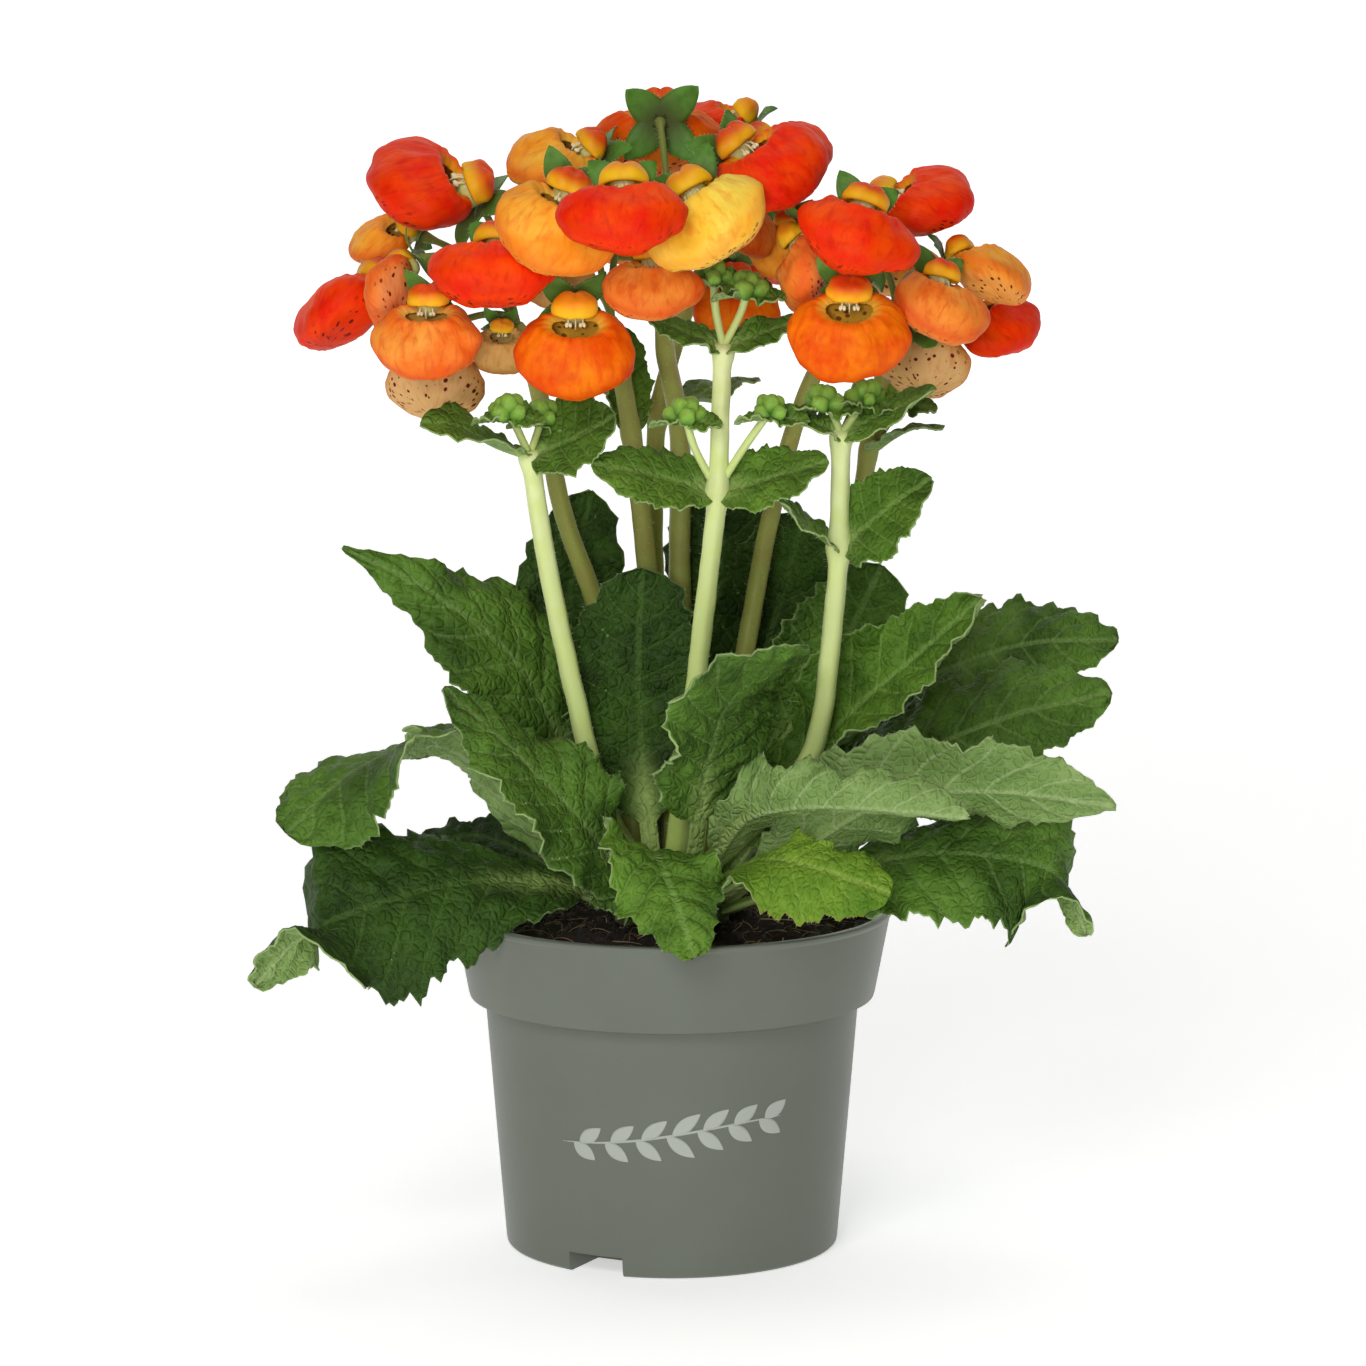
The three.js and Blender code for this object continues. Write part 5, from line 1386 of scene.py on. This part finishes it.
SHOOTS: tuple[Shoot, ...] = (
    Shoot(
        "left_bud",
        ((-6.7, -6.7, 97), (-18, -13, 122), (-26, -20, 155), (-33, -24, 190), (-37.5, -28, 220)),
        (2.9, 2.5),
        sprigs(
            (((-37, -28, 219), (-46, -29, 222), (-56, -30, 227), (-66, -31, 228)),
             8, (0, -30), (0.4, 0.2), 41),
            (((-37, -28, 219), (-30, -31, 222), (-22, -33, 226), (-15, -35, 230)),
             11, (40, 60), (0.3, 0.2), 42),
        ),
        (
            ((-38, -28, 220), (-41, -30, 227), (-43, -31, 231)),
            ((-37, -27, 220), (-35, -25, 226), (-34, -24, 229)),
        ),
        True,
    ),
    Shoot(
        "left",
        ((-9.5, 0, 97), (-13, 6, 135), (-19.5, 6, 170), (-29.5, 0, 201), (-35, -6, 231), (-41, -10, 252)),
        (3.0, 2.2),
    ),
    Shoot(
        "mid_left",
        ((-6.7, 6.7, 97), (-5, 12, 147), (-6.5, 12, 180), (-10, 8, 213), (-13, 3, 234), (-16, -7, 253)),
        (3.2, 2.3),
        sprigs((((-11, 6, 221), (-12, 10, 230), (-13, 13, 240), (-14, 14, 249)), 6, (0, 0), (0.3, 0.2), 43)),
    ),
    Shoot(
        "centre_bud",
        ((0, -9.5, 97), (4, -22, 136), (8.3, -30, 175), (12, -34, 210), (12.7, -34, 229), (13.5, -34, 249)),
        (3.0, 2.4),
        sprigs(
            (((12, -34, 210), (2, -36, 213), (-9, -38, 216), (-21, -40, 218)),
             9, (-50, -40), (0.3, -0.2), 44),
            (((12, -34, 210), (22, -37, 213), (31, -39, 216), (41, -41, 219)),
             9, (50, 40), (0.3, -0.2), 45),
            (((13.5, -34, 248), (7, -36, 251), (0, -37, 254), (-6, -38, 256)),
             5, (-40, -30), (0.3, -0.2), 46),
            (((13.5, -34, 248), (21, -37, 251), (28, -39, 254), (35, -41, 256)),
             5, (40, 30), (0.3, -0.2), 47),
        ),
        (
            ((11, -34, 212), (6, -37, 222), (3.5, -38, 231)),
            ((13, -34, 212), (19, -37, 222), (26, -38, 232)),
            ((13.5, -34, 248), (11.5, -35, 258), (11, -35, 267)),
            ((13.5, -34, 248), (18, -35, 257), (20, -36, 264)),
        ),
        True,
    ),
    Shoot(
        "centre",
        ((0, 0, 97), (2, 10, 146), (2, 17, 184), (2, 17, 220), (-2, 9, 245), (0, -12, 268)),
        (3.4, 2.4),
    ),
    Shoot(
        "right_bud",
        ((6.7, -6.7, 97), (25, -17, 121), (38, -25, 141), (42.6, -30, 175), (44, -32, 196), (44.5, -32, 226)),
        (2.9, 2.5),
        sprigs(
            (((44, -32, 195), (51, -35, 201), (59, -37, 208), (68, -38, 214)),
             11, (60, 50), (0.3, 0.2), 48),
            (((44, -32, 195), (39, -35, 199), (33, -38, 204), (28, -40, 209)),
             7, (-30, -20), (0.3, 0.2), 49),
            (((44.5, -32, 225), (52, -35, 229), (60, -36, 233), (69, -37, 238)),
             7, (40, 20), (0.3, 0.2), 50),
            (((44.5, -32, 225), (39, -35, 228), (34, -34, 230), (30, -33, 232)),
             6, (-30, -10), (0.3, 0.2), 51),
        ),
        (
            ((44.5, -32, 225), (42, -33, 231), (40, -34, 234)),
            ((44.5, -32, 225), (48, -32, 230), (51, -32, 235)),
        ),
        True,
    ),
    Shoot(
        "right",
        ((9.5, 0, 97), (14, 6, 130), (20, 11, 161), (26, 12, 194), (32, 6, 219), (38, 0, 237), (46, -5, 252)),
        (3.0, 2.2),
    ),
    Shoot(
        "far_right",
        ((6.7, 6.7, 97), (20, 15, 121), (38, 22, 148), (49, 26, 184), (53, 24, 211), (57, 18, 234),
         (60, 8, 254)),
        (3.0, 2.2),
        sprigs((((54, 23, 214), (60, 18, 219), (66, 14, 222), (73, 10, 222)), 7, (0, 0), (0.3, -0.2), 52)),
        (((54, 23, 215), (60, 20, 224), (62, 18, 229)),),
    ),
    Shoot(
        "back",
        ((0, 9.5, 97), (-3, 26, 146), (-5, 38, 184), (-4, 44, 220), (2, 42, 245), (6, 36, 256)),
        (3.2, 2.2),
        sprigs(
            (((-4, 44, 222), (-14, 50, 226), (-23, 55, 230), (-32, 60, 230)),
             9, (0, 0), (0.3, -0.2), 53),
            (((-4, 44, 222), (6, 50, 226), (15, 55, 230), (24, 60, 230)),
             9, (0, 0), (0.3, -0.2), 54),
        ),
    ),
)


# ---- pot and peat ----
@dataclass(frozen=True)
class Pot:
    """A round nursery pot with a stepped band below its lip and drain channels under its floor."""

    height: float = 93.0
    rim: float = 60.0
    band_foot: float = 55.2
    band: float = 23.0
    neck: float = 50.8
    foot: float = 45.2
    wall: float = 1.2
    channels: int = 2
    first: float = -27.0  # degrees from the front to the first channel
    width: float = 16.0
    rise: float = 5.5
    inner: float = 28.0
    shell: float = 1.2
    hole: float = 3.5
    colour: Moulding = Moulding("pot_polypropylene", "#6a6f65", "#747a70")
    ink: Moulding = Moulding("sprig_print", "#aab0a8", "#b6bbb3")

    def inside(self, z: float) -> float:
        """The inner wall's radius at a height."""
        step = self.height - self.band
        if z < step:
            return self.foot + (self.neck - self.foot) * z / step - self.wall
        return self.band_foot + (self.rim - 0.8 - self.band_foot) * (z - step) / self.band - self.wall

    def build(self) -> bpy.types.Object:
        """Makes the pot: a turned profile with rounded edges, joined with channel roofs and cut below."""
        step, h = self.height - self.band, self.height
        profile = [
            (0.5, 0), (self.foot - 1.6, 0), (self.foot - 0.8, 0.2), (self.foot - 0.2, 0.8), (self.foot, 1.8),
            (self.foot + (self.neck - self.foot) * 0.5, step * 0.5), (self.neck, step - 0.9),
            (self.neck + 0.3, step - 1.2), (self.band_foot - 0.9, step - 1.3),
            (self.band_foot - 0.3, step - 1.0), (self.band_foot, step), (self.rim - 0.8, h - 2),
            (self.rim - 0.15, h - 1.3), (self.rim, h - 0.9),
            (self.rim, h - 0.4), (self.rim - 0.35, h - 0.05), (self.rim - 0.8, h), (self.rim - 1.9, h),
            (self.rim - 2.4, h - 0.2),
            *((self.inside(z), z) for z in (h - 1.5, step + 0.6, step - 1, self.wall)),
            (0.5, self.wall),
        ]
        pot = self._turned("pot_wall", profile, 240)
        outer = self.foot - 0.4
        block = self._turned("roof_room", [(0.5, 0), (outer, 0), (outer, 20), (0.5, 20)], 120)
        angles = [math.radians(self.first + 360 / self.channels * k) for k in range(self.channels)]
        roofs = self._boxes("channel_roofs", angles, self.shell, outer + 2, self.rise + self.shell, 0.4)
        cuts = self._boxes("channel_cuts", angles, 0, self.foot + 5, self.rise, -3.0)
        holes = self._holes(angles)
        self._combine(roofs, block, "INTERSECT")
        self._combine(pot, roofs, "UNION")
        self._combine(pot, cuts, "DIFFERENCE")
        self._combine(pot, holes, "DIFFERENCE")
        for tool in (block, roofs, cuts, holes):
            bpy.data.objects.remove(tool)
        pot.data.set_sharp_from_angle(angle=math.radians(32))
        pot.data.materials.clear()
        pot.data.materials.append(self.colour.material())
        return pot

    def _turned(self, name: str, profile: list[Pair], sides: int) -> bpy.types.Object:
        """Spins a profile of radius and height about the pot's axis, closed on the axis at both ends."""
        skin = Skin()
        skin.closed(turned(np.array(profile, float), sides)[:, ::-1])
        return skin.make(name)

    def _boxes(
        self, name: str, angles: list[float], grow: float, outer: float, top: float, bottom: float
    ) -> bpy.types.Object:
        """Makes one radial box for each channel, from the inner radius out."""
        skin = Skin()
        x, y = self.width / 2 + grow, (self.inner - grow, outer)
        corners = np.array([(i * x, -j, k) for k in (bottom, top) for j in y for i in (-1, 1)])
        faces = np.array([
            (0, 1, 3), (0, 3, 2), (4, 7, 5), (4, 6, 7), (0, 5, 1), (0, 4, 5), (2, 3, 7), (2, 7, 6),
            (0, 2, 6), (0, 6, 4), (1, 5, 7), (1, 7, 3),
        ])
        spun = []
        for angle in angles:
            cosine, sine = math.cos(angle), math.sin(angle)
            turn = np.array([[cosine, -sine, 0], [sine, cosine, 0], [0, 0, 1]])
            spun.append(corners @ turn.T)
        skin.solids(np.stack(spun), faces)
        return skin.make(name)

    def _holes(self, angles: list[float]) -> bpy.types.Object:
        """Makes an upright rod for the drain hole of each channel."""
        skin = Skin()
        for angle in angles:
            place = np.array([math.sin(angle), -math.cos(angle), 0]) * (self.inner + 7)
            rod = tube(np.array([place + [0, 0, z] for z in (-4, 3, 12.0)]), np.full(3, self.hole), 24)
            skin.closed(rod)
        return skin.make("drain_rods")

    def _combine(self, body: bpy.types.Object, tool: bpy.types.Object, how: str) -> None:
        """Joins or cuts one closed mesh by another and keeps the result as the body's mesh."""
        change = body.modifiers.new(how, "BOOLEAN")
        change.operation, change.object, change.solver = how, tool, "EXACT"
        graph = bpy.context.evaluated_depsgraph_get()
        done = bpy.data.meshes.new_from_object(body.evaluated_get(graph))
        body.modifiers.clear()
        body.data = done

    def sprig(self) -> bpy.types.Object:
        """Makes the print on the body's front: a stem with seven pairs of small leaves, 0.12 mm proud.

        Each shape is drawn flat in x and z, and its places lie on the cone of the wall at that x and z.
        """
        skin = Skin()
        stem_x = np.linspace(-29, 29, 60)
        curve = 40.0 + 3.6 * np.sin(stem_x / 29 * 1.35)

        def lay(x: Array, z: Array, proud: float) -> Array:
            """Places on the wall, proud of it."""
            radius = self.foot + (self.neck - self.foot) * z / (self.height - self.band) + proud
            return np.stack([x, -np.sqrt(radius**2 - x * x), z], -1)

        half = 0.35 * np.sqrt(np.clip(1 - (stem_x / 29.5) ** 2, 0.02, 1))
        rows = np.stack([curve - half, curve, curve + half], 1)
        across = np.repeat(stem_x[:, None], 3, 1)
        skin.slab(lay(across, rows, 0.12)[:, ::-1], lay(across, rows, -0.15)[:, ::-1])
        s, t = np.linspace(0, 1, 12)[:, None], np.linspace(-1, 1, 7)[None, :]
        for number in range(14):
            way = 1 if number % 2 else -1
            x0 = -26 + 8.2 * (number // 2) + (1.5 if way > 0 else 0)
            z0 = float(np.interp(x0, stem_x, curve))
            lean = math.radians(38 * way)
            length = 9.6 - 0.8 * abs(number // 2 - 3)
            width = 1.9 * np.sin(math.pi * s**0.9) ** 0.9
            x = x0 + length * s * math.cos(lean) - t * width * math.sin(lean)
            z = z0 + length * s * math.sin(lean) + t * width * math.cos(lean)
            skin.slab(lay(x, z, 0.12)[:, ::-1], lay(x, z, -0.15)[:, ::-1])
        return skin.make("pot_sprig", self.ink.material())


@dataclass(frozen=True)
class Peat:
    """The pot's fill: a rough bed with crumbs and pale fibres on it."""

    edge: float = 86.0
    bumps: float = 1.3
    mound: float = 2.6
    gap: float = 0.3
    crown: float = 12.3  # radius of the hole that the crown's stub fills
    depth: float = 70.0
    crumbs: int = 900
    fibres: int = 330

    def height(self, x: Array, y: Array) -> Array:
        """The bed's height: three crossed waves, a low mound at the right and a rise towards the crown."""
        radius = np.hypot(x, y)
        waves = np.sin(0.31 * x + 0.17 * y) + np.sin(0.43 * y - 0.12 * x) + np.sin(0.77 * (x + y))
        mound = np.exp(-(((x - 40) / 16) ** 2) - ((y + 12) / 24) ** 2)
        fade = ease(56.5 - radius, 0, 4) * ease(radius, self.crown + 0.5, self.crown + 4)
        rough = (self.bumps * waves / 2 + self.mound * mound) * fade
        return self.edge + 1.5 * ease(60 - radius, 0, 44) + rough

    def build(self, pot: Pot) -> tuple[bpy.types.Object, bpy.types.Object, bpy.types.Object]:
        """Makes the bed with its fine lumps, the loose crumbs and the fibres.

        Args:
            pot: The pot that holds it.

        Returns:
            Bed, crumbs and fibres.
        """
        step = pot.height - pot.band
        low = pot.wall + self.gap
        walls = [(20, low + 5.7), (pot.inside(8) - 0.3, low + 5.7), (pot.inside(step - 1) - 0.3, step)]
        walls += [(pot.inside(z) - 0.3, z) for z in (step + 1.2, 80, self.edge - 0.2)]
        radii = np.linspace(pot.inside(self.edge) - 0.4, self.crown, 74)
        turn = circle(200)
        ring = np.stack([np.cos(turn), np.sin(turn)], -1)
        flat = radii[:, None, None] * ring
        rise = self.height(flat[..., 0], flat[..., 1])[..., None]
        top = np.concatenate([flat, rise], -1)
        fine = ease(radii, self.crown, self.crown + 2)[:, None] * ease(56.5 - radii, 0, 2)[:, None]
        lumps = 0.8 * np.abs(ripple(top, 4.6, 5)) + 0.45 * ripple(top, 2.2, 6)
        top[..., 2] += lumps * fine
        bore = [(self.crown, 80.0), (self.crown, self.depth)]
        outer, hole = (
            [np.concatenate([r * ring, np.full((200, 1), z)], 1) for r, z in rows] for rows in (walls, bore)
        )
        skin = Skin()
        skin.closed(np.concatenate([outer, top, hole])[:, ::-1])
        bed = skin.make("peat_bed", PEAT.material())
        return bed, self._crumbs(), self._fibres()

    def _scatter(self, count: int, rng: np.random.Generator) -> Array:
        """Places on the bed, evenly by area between the crown and the wall."""
        radius = np.sqrt(rng.uniform(17**2, 55.5**2, count))
        turn = rng.uniform(0, TAU, count)
        x, y = radius * np.cos(turn), radius * np.sin(turn)
        return np.stack([x, y, self.height(x, y) + 0.35], -1)

    def _crumbs(self) -> bpy.types.Object:
        """Adds loose crumbs: a lumpy 20-sided ball each, 0.8 to 2.6 mm across, half sunk in the bed."""
        rng = np.random.default_rng(71)
        golden = (1 + 5**0.5) / 2
        corners = unit(np.array([
            (-1, golden, 0), (1, golden, 0), (-1, -golden, 0), (1, -golden, 0),
            (0, -1, golden), (0, 1, golden), (0, -1, -golden), (0, 1, -golden),
            (golden, 0, -1), (golden, 0, 1), (-golden, 0, -1), (-golden, 0, 1),
        ]))
        faces = np.array([
            (0, 11, 5), (0, 5, 1), (0, 1, 7), (0, 7, 10), (0, 10, 11), (1, 5, 9), (5, 11, 4),
            (11, 10, 2), (10, 7, 6), (7, 1, 8), (3, 9, 4), (3, 4, 2), (3, 2, 6), (3, 6, 8),
            (3, 8, 9), (4, 9, 5), (2, 4, 11), (6, 2, 10), (8, 6, 7), (9, 8, 1),
        ])
        size = rng.uniform(0.35, 1.0, (self.crumbs, 1, 1)) ** 1.6 * 1.35
        lumpy = corners * rng.uniform(0.7, 1.15, (self.crumbs, 12, 1))
        lumpy = lumpy * rng.uniform(0.6, 1.2, (self.crumbs, 1, 3))
        skin = Skin()
        skin.solids(self._scatter(self.crumbs, rng)[:, None] + size * lumpy, faces)
        return skin.make("peat_crumbs", PEAT_CRUMB.material())

    def _fibres(self) -> bpy.types.Object:
        """Adds root and moss fibres: three-sided threads 4 to 13 mm long that lie and arch over the bed."""
        rng = np.random.default_rng(72)
        skin = Skin("shade")
        starts = self._scatter(self.fibres, rng)
        for start in starts:
            turn, length = rng.uniform(0, TAU), rng.uniform(4, 13)
            way = np.array([math.cos(turn), math.sin(turn), 0]) * length
            bow = np.array([-way[1], way[0], 0]) * rng.normal(0, 0.35)
            end = start + way
            if np.hypot(end[0], end[1]) > 55.5:
                end = start - way
            lift = rng.uniform(0.2, 2.6)
            raised = [0, 0, lift]
            corners = np.array([start, start + way * 0.3 + bow + raised, end + bow * 0.4 + raised, end])
            corners[3, 2] = self.height(end[0], end[1]) + 0.4
            width = rng.uniform(0.07, 0.19)
            thread = tube(bezier(corners, 7), np.linspace(width, width * 0.5, 7), 4)
            skin.closed(thread, shade=rng.uniform(0, 1))
        return skin.make("peat_fibres", FIBRE.material())


PEAT = Compost("peat_damp", "#0d0805", "#24170f", "#3f2a1b")
PEAT_CRUMB = Compost("peat_crumb", "#140c08", "#2f1e13", "#57402a")
FIBRE = Flesh("peat_fibre", "#5a4630", "#b79d78", "#7d6444", 0.5, 3.0, 0.7, 0.0)


# ---- stage ----
@dataclass(frozen=True)
class Studio:
    """A white floor that sweeps up behind, soft lights and the camera."""

    eye: Triple = (3.0, -1599.0, 404.5)
    dip: float = 8.911  # degrees that the camera looks down
    lens: float = 158.126

    def build(self) -> None:
        """Lays the floor, the lights, the air's own light and the camera."""
        self._sweep()
        self._lamp("key", (-340, -1280, 980), 560, 7.7, (1.0, 0.99, 0.97))
        self._lamp("front", (-160, -1500, 420), 260, 6.0, (1.0, 1.0, 1.0))
        self._lamp("top", (60, 120, 1350), 700, 3.4, (1.0, 1.0, 1.0))
        world = bpy.data.worlds.new("studio_air")
        bpy.context.scene.world = world
        world.use_nodes = True
        air = world.node_tree.nodes["Background"]
        air.inputs["Color"].default_value = (1.0, 1.0, 1.0, 1.0)
        air.inputs["Strength"].default_value = 0.06
        camera = bpy.data.cameras.new("camera")
        camera.lens, camera.sensor_width, camera.clip_end = self.lens, 36.0, 50.0
        holder = bpy.data.objects.new("camera", camera)
        holder.location = Vector(self.eye) * MM
        holder.rotation_euler = (math.radians(90 - self.dip), 0, 0)
        bpy.context.scene.collection.objects.link(holder)
        bpy.context.scene.camera = holder
        bpy.context.scene.view_settings.view_transform = "Standard"

    def _sweep(self) -> None:
        """Makes the floor: flat to well behind the pot, then a quarter round up into a wall."""
        bend = np.linspace(0, math.pi / 2, 24)
        front, back, radius = -4000.0, 2400.0, 900.0
        y = np.concatenate([[front, -1000], back + radius * np.sin(bend), [back + radius]])
        z = np.concatenate([[0, 0], radius - radius * np.cos(bend), [4000]])
        x = np.linspace(-4500, 4500, 5)
        points = np.stack(np.broadcast_arrays(x[None, :], y[:, None], z[:, None]), -1)
        skin = Skin()
        skin.sheet(points[:, ::-1], 0)
        floor = skin.make("studio_floor", Paper("floor_paper", "#f7f7f6").material())

    def _lamp(self, name: str, place: Triple, size: float, power: float, colour: Triple) -> None:
        """Hangs a square soft light that looks at the plant's middle."""
        light = bpy.data.lights.new(name, "AREA")
        light.shape, light.size, light.energy, light.color = "SQUARE", size * MM, power, colour
        lamp = bpy.data.objects.new(name, light)
        lamp.location = Vector(place) * MM
        lamp.rotation_euler = (Vector((0, 0, 170)) - Vector(place)).to_track_quat("-Z", "Y").to_euler()
        bpy.context.scene.collection.objects.link(lamp)


@dataclass(frozen=True)
class Paper(Finish):
    """Matt background paper, lit through enough to stay white."""

    name: str
    colour: str

    def nodes(self, bench: Bench) -> None:
        """Lays an even tone with the faintest tooth, and the glow: stronger on the wall than at the pot."""
        colour = bench.mix(bench.noise(bench.place, 300.0), self.colour, "#fbfbfa")
        away = add(bench.tree, "SeparateXYZ", {0: bench.place}).outputs[1]
        glow = bench.span(away, 0.3, 2.2, 0.5, 0.78)
        bench.finish(colour, 0.9, 0.1, emission_color="#ffffff", emission_strength=glow)


def stand_for(piece: bpy.types.Object, node: str) -> None:
    """Lets a piece stand for a solid: it rides on the plant's one body and takes the named slot's finish."""
    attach(piece, "root")
    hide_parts(node)


def main() -> None:
    """Builds the plant from the pot up, then the stage."""
    logging.basicConfig(level=logging.INFO, format="%(name)s: %(message)s")
    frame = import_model()
    pot = Pot()
    stand_for(pot.build(), "pot")
    leaf_print = pot.sprig()
    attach(leaf_print, "root")
    bed, *loose = Peat().build(pot)
    stand_for(bed, "soil")
    for piece in loose:
        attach(piece, "root")
    stand_for(Crown().build(), "crown")
    for node, leaf in BASAL_LEAVES.items():
        skin = Skin(*LEAF_MARKS, "shade")
        leaf.build(skin, (0, 1), 2)
        top, under = leaf.face.value
        piece = skin.make(f"{node}_blade", top.material(), under.material(), DOWN.material())
        stand_for(piece, node)
    for shoot in SHOOTS:
        stand_for(shoot.build(), f"shoot_{shoot.name}")
    for group in BLOOMS.values():
        for flower in group:
            node = f"bloom_{flower.seed:02d}"
            stand_for(flower.build(f"{node}_petals"), node)
    Studio().build()
    LOG.info("%d solids dressed", len(frame["nodes"]))


if __name__ == "__main__":
    main()
